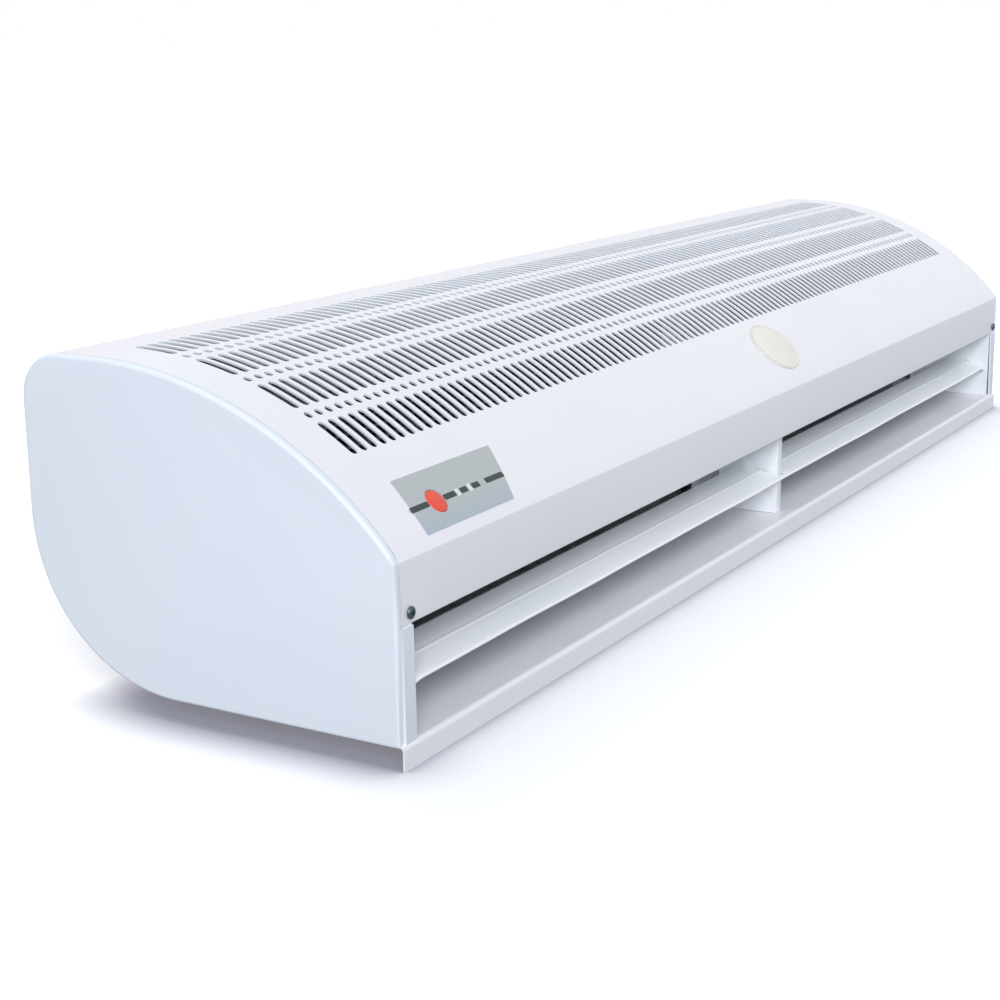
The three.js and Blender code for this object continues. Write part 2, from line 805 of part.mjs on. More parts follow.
function fanPlate(x, holeRadius) {
  const plate = drawnAlongX(fanPlateSection(), plateThickness, x);
  return cut(plate, rodAlongX(holeRadius, cutReach, x - cutReach / 2, axisDepth, axisZ));
}

// The bulkhead has a folded web that closes the bay beside the fan towards the duct.
function fanBulkhead() {
  const start = flangeDepth + 2 * gap;
  const height = ceilingZ + tongueRise + tongueTip - onFloor;
  const web = box(wiringBay - start, plateThickness, height, [start, bulkheadFront, onFloor]);
  return join(fanPlate(wiringBay - plateThickness, bearingRadius + gap), web);
}
addPair('fan_bulkhead', fanBulkhead(), 'galvanised');
addPair('motor_plate', fanPlate(motorPlateX, shaftRadius + shaftClearance), 'galvanised');

function bearing() {
  const bore = shaftRadius + gap;
  const plate = plateThickness + gap;
  return turnedAlongX([
    [bore, -bearingWidth / 2],
    [bearingNeckRadius, -bearingWidth / 2],
    [bearingRadius, -plate],
    [bearingRadius, gap],
    [bearingRadius + bearingFlange, gap],
    [bearingRadius + bearingFlange, gap + bearingFlangeThickness],
    [bearingNeckRadius, bearingWidth / 2],
    [bore, bearingWidth / 2],
  ], wiringBay, axisDepth, axisZ, roundSides);
}
addPair('shaft_bearing', bearing(), 'rubberBlack');

function scroll() {
  const turn = scrollStartAngle + Math.PI / 2;
  const startRadius = wheelRadius + scrollGap;
  const endRadius = axisHeight - scrollLift;
  const spiral = Array.from({ length: scrollSteps + 1 }, (_, i) => {
    const share = i / scrollSteps;
    const radius = startRadius * (endRadius / startRadius) ** share;
    const angle = scrollStartAngle - turn * share;
    return [axisDepth + radius * Math.cos(angle), axisZ + radius * Math.sin(angle)];
  });
  const shellFace = caseDepth - sheet - gap;
  const topZ = spiral[0][1] + scrollHemRise;
  const path = [
    [shellFace, topZ + scrollHem],
    [shellFace, topZ],
    [spiral[0][0] + ductSheet, topZ],
    ...spiral,
    [axisDepth - scrollFootLead + scrollFootRun, onFloor + ductSheet],
    [axisDepth - scrollFootLead, onFloor],
  ];
  const run = wheelLength + 2 * wheelEndGap - 2 * gap;
  return drawnAlongX(bentSheet(path, ductSheet), run, wiringBay + gap);
}
addPair('scroll_sheet', scroll(), 'galvanised');

// ---- Rotor ----
function wheel() {
  const inner = wheelRadius - wheelBladeInset - wheelBladeWidth;
  const blades = [];
  for (let i = 0; i < wheelBlades; i += 1) {
    const blade = new THREE.BoxGeometry(wheelLength - wheelDisc, wheelBladeWidth, wheelBladeThickness)
      .rotateX(wheelBladeLean)
      .translate(wheelStart + wheelLength / 2, inner + wheelBladeWidth / 2, 0)
      .rotateX(2 * Math.PI * i / wheelBlades);
    blades.push(blade.translate(0, axisDepth, axisZ));
  }
  const disc = (x) => rodAlongX(wheelRadius, wheelDisc, x, axisDepth, axisZ, wheelBlades);
  const discs = [
    disc(wheelStart),
    disc(wheelStart + (wheelLength - wheelDisc) / 2),
    disc(wheelStart + wheelLength - wheelDisc),
  ];
  const boss = rodAlongX(bossRadius, hubLength, wheelStart, axisDepth, axisZ);
  const whole = join(mergeGeometries(blades), ...discs, boss);
  const shaftBore = rodAlongX(shaftRadius + gap, caseLength, -middle, axisDepth, axisZ);
  const hubHoleStart = wheelStart + wheelLength - 2 * wheelDisc;
  const hubHole = rodAlongX(hubRadius + gap, 4 * wheelDisc, hubHoleStart, axisDepth, axisZ, roundSides);
  return cut(whole, shaftBore, hubHole);
}
addPair('fan_wheel', wheel(), 'darkWheel');

function wheelHub() {
  const bore = shaftRadius + gap;
  const disc = wheelDisc;
  return turnedAlongX([
    [bore, -hubLength],
    [bossRadius, -hubLength],
    [hubRadius + hubFlange, -disc - gap - hubFlange],
    [hubRadius + hubFlange, -disc - gap],
    [hubRadius, -disc - gap],
    [hubRadius, hubNose],
    [bore, hubNose],
  ], wheelStart + wheelLength, axisDepth, axisZ, roundSides);
}
addPair('wheel_hub', wheelHub(), 'rubberBlack');

const stubStart = wiringBay - bearingWidth / 2 - stubOverhang;
addPair('stub_shaft', rodAlongX(
  shaftRadius,
  wheelStart + hubLength - stubStart,
  stubStart,
  axisDepth,
  axisZ,
), 'shaftSteel');

const motorShaftLength = motorBay + 2 * (wheelEndGap + hubLength);
addPart('motor_shaft', rodAlongX(
  shaftRadius,
  motorShaftLength,
  middle - motorShaftLength / 2,
  axisDepth,
  axisZ,
), 'shaftSteel');

// ---- Motor and its cradle ----
function motorBody() {
  const half = motorLength / 2;
  const bore = shaftRadius + gap;
  return turnedAlongX([
    [bore, -half],
    [motorNoseRadius, -half],
    [motorBellRadius, -half + motorNoseDepth],
    [motorRadius, -half + motorBellDepth],
    [motorRadius, half - motorBellDepth],
    [motorBellRadius, half - motorNoseDepth],
    [motorNoseRadius, half],
    [bore, half],
  ], middle, axisDepth, axisZ, motorSides);
}
addPart('motor_body', motorBody(), 'motorGrey');

const saddleTop = axisZ - saddleTopDrop;
const saddleStarts = [
  middle - cradleRun / 2 + saddleInset,
  middle + cradleRun / 2 - saddleInset - saddleThickness,
];
const earReach = motorRadius + strapEar;

function motorCradle() {
  const cradleStart = middle - cradleRun / 2;
  const base = box(cradleRun, cradleWidth, cradleBase, [cradleStart, axisDepth - cradleWidth / 2, onFloor]);
  const saddles = saddleStarts.map((x) => box(saddleThickness, 2 * earReach, saddleTop - onFloor, [
    x,
    axisDepth - earReach,
    onFloor,
  ]));
  const seat = rodAlongX(motorRadius + gap, cradleRun, cradleStart, axisDepth, axisZ, motorSides);
  const windows = saddleStarts.map((x) => box(2 * saddleThickness, cradleWindow, cradleWindowHeight, [
    x - saddleThickness / 2,
    axisDepth - cradleWindow / 2,
    onFloor + cradleWindowRise,
  ]));
  const room = drawnAlongX(caseOutline(flangeInset), 2 * cradleRun, middle - cradleRun);
  return cut(common(join(base, ...saddles), room), seat, ...windows, ...strapScrewHoles());
}

function strapScrewPlaces() {
  return saddleStarts.flatMap((x) => [-1, 1].map((side) => [
    x + saddleThickness / 2,
    axisDepth + side * (earReach - strapEar / 2 + strapThickness / 2),
  ]));
}

function strapScrewHoles() {
  return strapScrewPlaces().map(([x, y]) => (
    screwHole(4 * screwShank).rotateX(Math.PI / 2).translate(x, y, saddleTop)
  ));
}
addPart('motor_cradle', motorCradle(), 'galvanised');

function motorStrap(x) {
  const inner = motorRadius + gap;
  const outer = inner + strapThickness;
  const earTop = saddleTop + gap + strapThickness;
  const springing = Math.asin((earTop - axisZ) / outer);
  const innerFoot = Math.asin((earTop - axisZ) / inner);
  const footReach = inner * Math.cos(Math.asin((saddleTop + gap - axisZ) / inner));
  const overTop = arc(axisDepth, axisZ, outer, springing, Math.PI - springing, strapSteps);
  const under = arc(axisDepth, axisZ, inner, Math.PI - innerFoot, innerFoot, strapSteps);
  const section = [
    [axisDepth + earReach, saddleTop + gap],
    [axisDepth + earReach, earTop],
    ...overTop,
    [axisDepth - earReach, earTop],
    [axisDepth - earReach, saddleTop + gap],
    [axisDepth - footReach, saddleTop + gap],
    ...under,
    [axisDepth + footReach, saddleTop + gap],
  ];
  return cut(drawnAlongX(section, saddleThickness, x), ...strapScrewHoles());
}
saddleStarts.forEach((x, i) => addPart(`motor_strap_${i + 1}`, motorStrap(x), 'galvanised'));

strapScrewPlaces().forEach(([x, y], i) => {
  const seat = saddleTop + gap + strapThickness + gap;
  const shape = screw()
    .rotateX(Math.PI / 2)
    .translate(x, y, seat);
  addPart(`strap_screw_${i + 1}`, shape, 'zincScrew');
});

// ---- Control label, button, board ----
function labelShape() {
  const low = labelLowFromFold - buttonFromFold;
  const high = labelHighFromFold - buttonFromFold;
  const corners = [
    [labelLowStart, low],
    [labelLowEnd, low],
    [labelTopEnd, high],
    [labelTopStart, high],
  ].map(([x, y]) => new THREE.Vector2(x - buttonStart, y));
  const shape = new THREE.Shape();
  corners.forEach((corner, i) => {
    const before = corners[(i + 3) % 4].clone().sub(corner).setLength(labelCorner).add(corner);
    const after = corners[(i + 1) % 4].clone().sub(corner).setLength(labelCorner).add(corner);
    if (i === 0) shape.moveTo(before.x, before.y);
    else shape.lineTo(before.x, before.y);
    shape.quadraticCurveTo(corner.x, corner.y, after.x, after.y);
  });
  return shape;
}

function controlLabel() {
  const path = [firstRowFromFold - rowMargin, creaseHigh, creaseLow, 0].map((s) => coverPoint(s, gap));
  const skin = drawnAlongX(bentSheet(path, labelThickness), caseLength, 0);
  const settings = { depth: 2 * labelHighFromFold, bevelEnabled: false, curveSegments: 4 };
  const outline = new THREE.ExtrudeGeometry(labelShape(), settings).translate(0, 0, -labelHighFromFold);
  const hole = stripDisc(buttonRadius + gap, -cutReach, cutReach);
  return cut(common(skin, onLabelStrip(outline)), hole);
}
addPart('control_label', controlLabel(), 'labelSilver');

function powerButton() {
  const under = -sheet - gap;
  const cap = stripDisc(buttonRadius, under - buttonFlangeThickness, buttonProud);
  const flange = stripDisc(buttonFlange, under - buttonFlangeThickness, under);
  const switchTop = -boardDrop + boardThickness + gap + switchHeight;
  const stem = stripDisc(buttonStemRadius, switchTop + buttonTravel + gap, under, buttonStemSides);
  return join(cap, flange, stem);
}
addPart('power_button', powerButton(), 'buttonRed');

function controlBoard() {
  const fromButton = boardStart - buttonStart;
  const board = box(boardLength, boardWidth, boardThickness, [fromButton, -boardWidth / 2, -boardDrop]);
  return onLabelStrip(board);
}
addPart('control_board', controlBoard(), 'boardGreen');

const switchBody = box(switchSize, switchSize, switchHeight, [
  -switchSize / 2,
  -switchSize / 2,
  -boardDrop + boardThickness + gap,
]);
addPart('power_switch', onLabelStrip(switchBody), 'switchBlack');

[0, 1].forEach((i) => {
  const x = boardStart - buttonStart + (i ? boardLength - standoffInset : standoffInset);
  const y = (i ? 1 : -1) * (boardWidth / 2 - standoffInset);
  const low = -boardDrop + boardThickness + gap;
  const post = stripDisc(standoffRadius, low, -sheet - gap, screwSides, x, y);
  addPart(`board_standoff_${i + 1}`, post, 'brass');
});

// ---- Badge ----
function badge() {
  const [y, z] = coverPoint(badgeFromFold);
  const slope = foldAngle - badgeFromFold / coverRadius - Math.PI / 2;
  const dome = new THREE.SphereGeometry(1, motorSides, strapSteps)
    .scale(badgeHalfLength * badgeSpread, badgeHalfWidth * badgeSpread, badgeDome + badgeRim);
  const outline = new THREE.CylinderGeometry(1, 1, 2 * badgeHalfWidth, motorSides)
    .rotateX(Math.PI / 2)
    .scale(badgeHalfLength, badgeHalfWidth, 1);
  const cap = common(dome, outline)
    .rotateX(slope)
    .translate(middle + badgeOffset, y, z);
  const underside = drawnAlongX([[0, floorZ], ...coverCurve(-gap)], caseLength, 0);
  return cut(cap, underside);
}
addPart('badge_plate', badge(), 'badgeCream');

// ---- Electrical bay at the left end ----
const earthY = caseDepth - backCornerRadius - earthSetback;
const blockY = earthY - blockToEarth - blockWidth;

function terminalBlock() {
  const body = box(blockLength, blockWidth, blockHeight, [blockStart, blockY, onFloor]);
  const pitch = blockWidth / blockWays;
  const wayWidth = pitch - blockWall;
  const ways = Array.from({ length: blockWays }, (_, i) => box(blockLength, wayWidth, blockWayDepth, [
    blockStart - (blockLength + blockRidge) / 2,
    blockY + i * pitch + blockWall / 2,
    onFloor + blockHeight - blockWayDepth,
  ]));
  return cut(body, ...ways, ...ways.map((way) => way.clone().translate(blockLength + blockRidge, 0, 0)));
}
addPart('terminal_block', terminalBlock(), 'nylonWhite');

const capacitorX = wiringBay - plateThickness - clipThickness - 2 * gap - capacitorRadius;
const capacitorZ = floorZ + capacitorHeight;
const capacitorY = caseDepth - capacitorSetback;

function canister() {
  const radius = capacitorRadius;
  const profile = [
    [0, 0],
    [radius - capacitorRim, 0],
    [radius, capacitorRim],
    [radius, capacitorLength - capacitorRim],
    [radius - capacitorRim, capacitorLength],
    [0, capacitorLength],
  ];
  return new THREE.LatheGeometry(profile.map(([r, h]) => new THREE.Vector2(r, h)), roundSides)
    .translate(capacitorX, capacitorY, capacitorZ);
}
addPart('run_capacitor', canister(), 'canisterWhite');

// A saddle clip on the bulkhead: a U round the canister with a foot on each side.
function capacitorClip() {
  const inner = capacitorRadius + gap;
  const outer = inner + clipThickness;
  const plate = capacitorRadius + clipThickness + gap; // canister axis to the bulkhead side
  const foot = plate - clipThickness;
  const section = [
    [outer + clipFoot, plate],
    [outer + clipFoot, foot],
    [outer, foot],
    ...arc(0, 0, outer, 0, -Math.PI, clipSteps),
    [-outer, foot],
    [-outer - clipFoot, foot],
    [-outer - clipFoot, plate],
    [-inner, plate],
    ...arc(0, 0, inner, -Math.PI, 0, clipSteps),
    [inner, plate],
  ];
  const shape = new THREE.Shape(section.map(([across, out]) => new THREE.Vector2(out, across)));
  return new THREE.ExtrudeGeometry(shape, { depth: clipWidth, bevelEnabled: false })
    .rotateX(Math.PI / 2)
    .translate(capacitorX, capacitorY + (capacitorLength + clipWidth) / 2, capacitorZ);
}
addPart('capacitor_clip', capacitorClip(), 'galvanised');

// A turned rubber grommet in the long side of the shell, its axis along Y.
function cableGrommet() {
  const profile = [
    [grommetBore, -sheet - screwHeadHeight],
    [grommetFlange - gap, -sheet - screwHeadHeight],
    [grommetFlange, -sheet - gap],
    [grommetRadius, -sheet - gap],
    [grommetRadius, gap],
    [grommetFlange, gap],
    [grommetFlange - gap, screwHeadHeight],
    [grommetBore, screwHeadHeight],
  ];
  const points = [...profile, profile[0]].map(([r, h]) => new THREE.Vector2(r, h));
  return new THREE.LatheGeometry(points, roundSides)
    .translate(grommetStart, caseDepth, grommetZ);
}
addPart('cable_grommet', cableGrommet(), 'rubberBlack');

// A post on the floor of the bay, its axis along Z.
function earthPost(radius, height, low, sides) {
  return new THREE.CylinderGeometry(radius, radius, height, sides)
    .rotateX(Math.PI / 2)
    .translate(earthStart, earthY, onFloor + low + height / 2);
}
addPart('earth_stud', earthPost(earthStudRadius, earthStudHeight, 0, roundSides), 'brass');
const earthNut = earthPost(earthNutRadius, earthNutHeight, gap, 6);
const earthBore = earthPost(earthStudRadius + gap, 2 * earthStudHeight, -earthStudHeight, roundSides);
addPart('earth_nut', cut(earthNut, earthBore), 'brass');

unit.position.set(-caseLength / 2, -caseDepth / 2, 0);
unit.updateMatrixWorld(true);

export default unit;
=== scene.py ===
import json
import math

import bmesh
import bpy
from mathutils import Matrix, Vector


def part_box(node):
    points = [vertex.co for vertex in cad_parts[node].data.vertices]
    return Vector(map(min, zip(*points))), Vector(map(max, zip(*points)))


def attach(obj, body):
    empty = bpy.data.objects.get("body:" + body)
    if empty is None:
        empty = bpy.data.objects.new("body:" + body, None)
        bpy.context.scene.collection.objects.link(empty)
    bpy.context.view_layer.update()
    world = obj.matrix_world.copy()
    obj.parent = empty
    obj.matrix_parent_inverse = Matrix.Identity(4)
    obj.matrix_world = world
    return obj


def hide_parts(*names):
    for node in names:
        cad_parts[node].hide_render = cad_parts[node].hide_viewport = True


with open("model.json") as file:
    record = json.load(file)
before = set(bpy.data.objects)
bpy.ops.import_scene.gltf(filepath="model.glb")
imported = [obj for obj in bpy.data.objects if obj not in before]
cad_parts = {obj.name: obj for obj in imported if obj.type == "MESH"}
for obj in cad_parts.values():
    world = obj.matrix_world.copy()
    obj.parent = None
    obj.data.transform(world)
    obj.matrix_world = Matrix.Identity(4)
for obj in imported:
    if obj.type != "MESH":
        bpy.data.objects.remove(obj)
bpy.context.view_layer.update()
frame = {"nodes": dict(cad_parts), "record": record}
nodes = frame["nodes"]
slotOf = {part["node"]: part["material_slot"] for part in frame["record"]["subparts"]}
mm = 0.001

# The case, in millimetres: depth runs from the outlet face, height from the flat back
case = {
    "length": 1200,
    "depth": 268,
    "height": 205.5,
    "standoff": 14,
    "foldHeight": 107,
    "bandHeight": 38,
    "crownSetback": 53,
    "crownCornerRadius": 28,
    "backCornerRadius": 108,
    "skirtHeight": 164,
    "sheet": 1.2,
    "gap": 0.3,
    "cutReach": 4,  # how far a cutter stands out on each side of a sheet
    "panelRim": 5.5,
    "flangeReach": 17,
    "fanDepth": 150,
    "fanHeight": 108,
}
half = case["length"] / 2
bandBottom = case["foldHeight"] - case["bandHeight"]
crownDepth = case["depth"] - case["crownSetback"]
crownRise = case["height"] - case["foldHeight"]
coverRadius = (crownDepth ** 2 + crownRise ** 2) / (2 * crownRise)
arcCentre = (crownDepth, case["height"] - coverRadius)
foldAngle = math.pi - math.acos(crownDepth / coverRadius)
arcLength = coverRadius * (foldAngle - math.pi / 2)
fanAxis = (case["fanDepth"], case["fanHeight"])


def inFrame(x, depth, height):
    # x from mid-length, depth and height of the case, in millimetres, to the frame's metres
    return Vector((x, depth - case["depth"] / 2, height + case["standoff"])) * mm


def onCover(fromFold, raised=0):
    angle = foldAngle - fromFold / coverRadius
    reach = coverRadius + raised
    return (arcCentre[0] + reach * math.cos(angle), arcCentre[1] + reach * math.sin(angle))


# Camera, at the photograph's viewing angle
photoView = {
    "place": (-1.40902, -0.66968, 0.39844),
    "right": (0.4996, -0.8662, -0.0099),
    "up": (0.2141, 0.1124, 0.9704),
    "lens": 66.52,
}


def addCamera():
    data = bpy.data.cameras.new("photoCamera")
    data.lens = photoView["lens"]
    data.clip_start = 0.02
    camera = bpy.data.objects.new("photoCamera", data)
    right = Vector(photoView["right"]).normalized()
    back = right.cross(Vector(photoView["up"])).normalized()
    turn = Matrix((right, back.cross(right), back)).transposed()
    camera.matrix_world = Matrix.Translation(photoView["place"]) @ turn.to_4x4()
    bpy.context.scene.collection.objects.link(camera)
    bpy.context.scene.camera = camera


addCamera()
print("camera set")


# Materials
def screenColour(red, green, blue):
    # a colour as a screen shows it, 0 to 255, to the linear values that shaders take
    parts = [value / 255 for value in (red, green, blue)]
    return [v / 12.92 if v < 0.04045 else ((v + 0.055) / 1.055) ** 2.4 for v in parts] + [1]


class Finish:
    # a Principled material with its Object coordinates, and short calls for the usual nodes
    def __init__(self, name, **sockets):
        self.material = bpy.data.materials.new(name)
        self.material.use_nodes = True
        self.tree = self.material.node_tree
        self.shader = self.tree.nodes["Principled BSDF"]
        self.coords = self.tree.nodes.new("ShaderNodeTexCoord").outputs["Object"]
        for socket, value in sockets.items():
            self.shader.inputs[socket.replace("_", " ")].default_value = value

    def node(self, kind, links=None, **values):
        made = self.tree.nodes.new(kind)
        for key, value in values.items():
            setattr(made, key, value)
        for socket, source in (links or {}).items():
            if isinstance(source, bpy.types.NodeSocket):
                self.tree.links.new(source, made.inputs[socket])
            else:
                made.inputs[socket].default_value = source
        return made

    def stretched(self, scale):
        return self.node("ShaderNodeMapping", {"Vector": self.coords, "Scale": scale}).outputs[0]

    def noise(self, scale, detail=2, vector=None, rough=0.5):
        links = {"Vector": vector or self.coords, "Scale": scale}
        links |= {"Detail": detail, "Roughness": rough}
        return self.node("ShaderNodeTexNoise", links).outputs[0]

    def spread(self, source, low, high, fromLow=0.3, fromHigh=0.7):
        links = {"Value": source, "From Min": fromLow, "From Max": fromHigh}
        links |= {"To Min": low, "To Max": high}
        return self.node("ShaderNodeMapRange", links).outputs[0]

    def mixed(self, share, first, second):
        mix = self.node("ShaderNodeMix", data_type="RGBA")
        self.tree.links.new(share, mix.inputs["Factor"])
        for socket, value in ((6, first), (7, second)):
            if isinstance(value, bpy.types.NodeSocket):
                self.tree.links.new(value, mix.inputs[socket])
            else:
                mix.inputs[socket].default_value = value
        return mix.outputs[2]

    def colour(self, source):
        self.tree.links.new(source, self.shader.inputs["Base Color"])

    def roughness(self, source):
        self.tree.links.new(source, self.shader.inputs["Roughness"])

    def bumps(self, *layers):
        # each layer is a height, its strength and its depth in metres
        last = None
        for height, strength, depth in layers:
            links = {"Height": height, "Strength": strength, "Distance": depth}
            bump = self.node("ShaderNodeBump", links)
            if last:
                self.tree.links.new(last, bump.inputs["Normal"])
            last = bump.outputs[0]
        self.tree.links.new(last, self.shader.inputs["Normal"])


def powderCoat(name, colour, shade, gloss=0.36):
    # satin powder coat: orange peel, a slow wave of the sheet, and a slight drift of tone
    finish = Finish(name, Metallic=0, IOR=1.5)
    drift = finish.spread(finish.noise(5, 3), 0, 1)
    speck = finish.spread(finish.noise(1400, 1), 0, 0.25, 0.55, 0.75)
    toned = finish.mixed(drift, screenColour(*colour), screenColour(*shade))
    finish.colour(finish.mixed(speck, toned, screenColour(*[v * 0.94 for v in shade])))
    finish.roughness(finish.spread(finish.noise(40, 3), gloss - 0.03, gloss + 0.05))
    finish.bumps((finish.noise(9, 1), 0.15, 0.0008), (finish.noise(620, 2), 0.12, 0.00012))
    return finish.material


def zincSheet(name, light, dark):
    # galvanised steel: soft spangles of two greys, each with its own gloss
    finish = Finish(name, Metallic=0.85)
    links = {"Vector": finish.coords, "Scale": 85, "Randomness": 1}
    spangle = finish.node("ShaderNodeTexVoronoi", links).outputs["Color"]
    tone = finish.node("ShaderNodeSeparateColor", {"Color": spangle}).outputs[0]
    cloud = finish.spread(finish.noise(60, 4), 0, 1)
    blurred = finish.mixed(cloud, screenColour(*light), screenColour(*dark))
    finish.colour(finish.mixed(finish.spread(tone, 0, 0.6, 0, 1), blurred, screenColour(*dark)))
    finish.roughness(finish.spread(tone, 0.34, 0.52, 0, 1))
    finish.bumps((finish.noise(700, 2), 0.1, 0.0001))
    return finish.material


def turnedMetal(name, light, dark, gloss=0.28):
    # fine rings left by the tool, drawn out across the piece
    finish = Finish(name, Metallic=1)
    rings = finish.noise(1, 3, finish.stretched((1800, 160, 160)), 0.7)
    tone = finish.spread(rings, 0, 1)
    finish.colour(finish.mixed(tone, screenColour(*light), screenColour(*dark)))
    finish.roughness(finish.spread(rings, gloss, gloss + 0.14))
    finish.bumps((rings, 0.12, 0.00005))
    return finish.material


def moulded(name, colour, shade, gloss=0.5, grain=900, metal=0.0, depth=0.12):
    # moulded or cast surface with a fine grain
    finish = Finish(name, Metallic=metal)
    drift = finish.spread(finish.noise(70, 4), 0, 1)
    finish.colour(finish.mixed(drift, screenColour(*colour), screenColour(*shade)))
    finish.roughness(finish.spread(finish.noise(grain / 3, 2), gloss - 0.05, gloss + 0.07))
    finish.bumps((finish.noise(grain, 3), 0.25, depth * mm))
    return finish.material


def labelFilm(name):
    # silver-grey film with a drawn grain along its length, cooler towards its lower edge
    finish = Finish(name, Metallic=0.1)
    grain = finish.noise(1, 3, finish.stretched((60, 2600, 2600)), 0.6)
    height = finish.node("ShaderNodeSeparateXYZ", {"Vector": finish.coords}).outputs[2]
    low, high = (corner.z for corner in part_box("control_label"))
    rise = finish.spread(height, 0, 1, low, low + 0.4 * (high - low))
    ground = finish.mixed(rise, screenColour(172, 184, 200), screenColour(182, 188, 188))
    finish.colour(finish.mixed(finish.spread(grain, 0, 0.35), ground, screenColour(168, 176, 182)))
    finish.roughness(finish.spread(grain, 0.3, 0.42))
    finish.bumps((grain, 0.05, 0.00003))
    return finish.material


finishes = {
    "cover_coat": powderCoat("coverCoat", (241, 240, 245), (237, 236, 242)),
    # end panel coat: its blue tint is painted cool light, not the coat's own colour
    "panel_coat": powderCoat("panelCoatCoolLight", (232, 238, 248), (227, 234, 245), 0.52),
    "duct_coat": powderCoat("ductCoat", (240, 244, 248), (234, 239, 244), 0.42),
    "vane_coat": powderCoat("vaneCoat", (250, 252, 255), (246, 249, 253), 0.34),
    "galvanised_sheet": zincSheet("galvanisedSheet", (196, 201, 204), (168, 174, 178)),
    "wheel_dark": moulded("wheelDark", (84, 97, 105), (68, 81, 89), 0.5, 500, 0.2),
    "motor_housing": moulded("motorHousing", (214, 218, 222), (196, 201, 206), 0.42, 420, 0.3),
    "shaft_steel": turnedMetal("shaftSteel", (176, 180, 184), (140, 145, 150)),
    "rubber_black": moulded("rubberBlack", (40, 42, 46), (28, 30, 33), 0.8, 700),
    "nylon_white": moulded("nylonWhite", (233, 231, 223), (222, 219, 209), 0.5, 800),
    "label_film": labelFilm("labelFilm"),
    "button_red": moulded("buttonRed", (236, 80, 52), (229, 70, 45), 0.3, 900, depth=0.02),
    "badge_cream": moulded("badgeCream", (238, 235, 226), (235, 231, 221), 0.42, 260, depth=0.004),
    "board_green": moulded("boardGreen", (38, 92, 64), (28, 76, 52), 0.4, 600),
    "switch_black": moulded("switchBlack", (44, 46, 50), (34, 36, 40), 0.5, 900),
    "canister_white": moulded("canisterWhite", (217, 219, 221), (205, 208, 210), 0.4, 900),
    "brass_turned": turnedMetal("brassTurned", (206, 170, 92), (176, 138, 66)),
    "screw_zinc": turnedMetal("screwZinc", (104, 118, 126), (70, 84, 92), 0.3),
}
labelInk = moulded("labelInk", (38, 50, 52), (28, 40, 42), 0.4, 900, depth=0.02)
labelWhite = moulded("labelWhite", (226, 232, 234), (216, 223, 226), 0.4, 900, depth=0.02)
# walls of the slots and the sheet's cut rims: a darker blue-grey than the cover, painted shade
# inside the slots
slotWallShade = moulded("slotWallShade", (212, 220, 230), (200, 208, 219), 0.5, 900)
# badge rim: darker and greyer than the dome, painted shade along its edge
badgeRimShade = moulded("badgeRimShade", (226, 224, 219), (219, 217, 212), 0.42, 260, depth=0.004)
for name, node in nodes.items():
    node.data.materials.clear()
    node.data.materials.append(finishes[slotOf[name]])
print("materials made:", len(finishes))


# Helpers that make and finish meshes
def addPiece(name, mesh, body, slot, replaced=(), material=None, smoothTo=35):
    mesh.name = name
    if not mesh.materials:
        mesh.materials.append(material or finishes[slot])
    mesh.shade_smooth()
    mesh.set_sharp_from_angle(angle=math.radians(smoothTo))
    piece = bpy.data.objects.new(name, mesh)
    bpy.context.scene.collection.objects.link(piece)
    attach(piece, body)
    if replaced:
        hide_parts(*replaced)
    return piece


def meshFrom(verts, faces, name="draft"):
    mesh = bpy.data.meshes.new(name)
    mesh.from_pydata([tuple(v) for v in verts], [], faces)
    mesh.validate()
    return mesh


def tidied(mesh, merge=1e-6, outward=True):
    # merges doubles and turns the faces of closed shells outwards
    work = bmesh.new()
    work.from_mesh(mesh)
    bmesh.ops.remove_doubles(work, verts=work.verts, dist=merge)
    if outward:
        bmesh.ops.recalc_face_normals(work, faces=work.faces)
    work.to_mesh(mesh)
    work.free()
    return mesh


def joined(meshes):
    work = bmesh.new()
    for mesh in meshes:
        work.from_mesh(mesh)
        bpy.data.meshes.remove(mesh)
    whole = bpy.data.meshes.new("joined")
    work.to_mesh(whole)
    work.free()
    return whole


def draftObject(mesh):
    draft = bpy.data.objects.new("draft", mesh)
    bpy.context.scene.collection.objects.link(draft)
    return draft


def settled(draft):
    # the evaluated mesh of a draft, which is then removed
    depsgraph = bpy.context.evaluated_depsgraph_get()
    mesh = bpy.data.meshes.new_from_object(draft.evaluated_get(depsgraph), depsgraph=depsgraph)
    bpy.data.objects.remove(draft)
    return mesh


def loft(rings, closed=True, capStart=False, capEnd=False):
    # rings of equal length joined by quads
    count = len(rings[0])
    verts = [point for ring in rings for point in ring]
    faces = []
    for step in range(len(rings) - 1):
        for i in range(count if closed else count - 1):
            a, b = step * count + i, step * count + (i + 1) % count
            faces.append((a, b, b + count, a + count))
    if capStart:
        faces.append(tuple(reversed(range(count))))
    if capEnd:
        faces.append(tuple(range((len(rings) - 1) * count, len(rings) * count)))
    return meshFrom(verts, faces)


def arcPoints(centre, radius, start, end, steps):
    angles = [math.radians(start + (end - start) * i / steps) for i in range(steps + 1)]
    return [(centre[0] + radius * math.cos(a), centre[1] + radius * math.sin(a)) for a in angles]


def rounded(points, index, radius, steps=4):
    # the corner at this index as a fillet; the number of points it takes is always the same
    corner = Vector(points[index])
    before = (Vector(points[index - 1]) - corner).normalized()
    after = (Vector(points[(index + 1) % len(points)]) - corner).normalized()
    opening = before.angle(after)
    setback = radius / math.tan(opening / 2)
    centre = corner + (before + after).normalized() * radius / math.sin(opening / 2)
    first = corner + before * setback - centre
    last = corner + after * setback - centre
    turned = [centre + first.slerp(last, i / steps) for i in range(steps + 1)]
    return points[:index] + [tuple(p) for p in turned] + points[index + 1:]


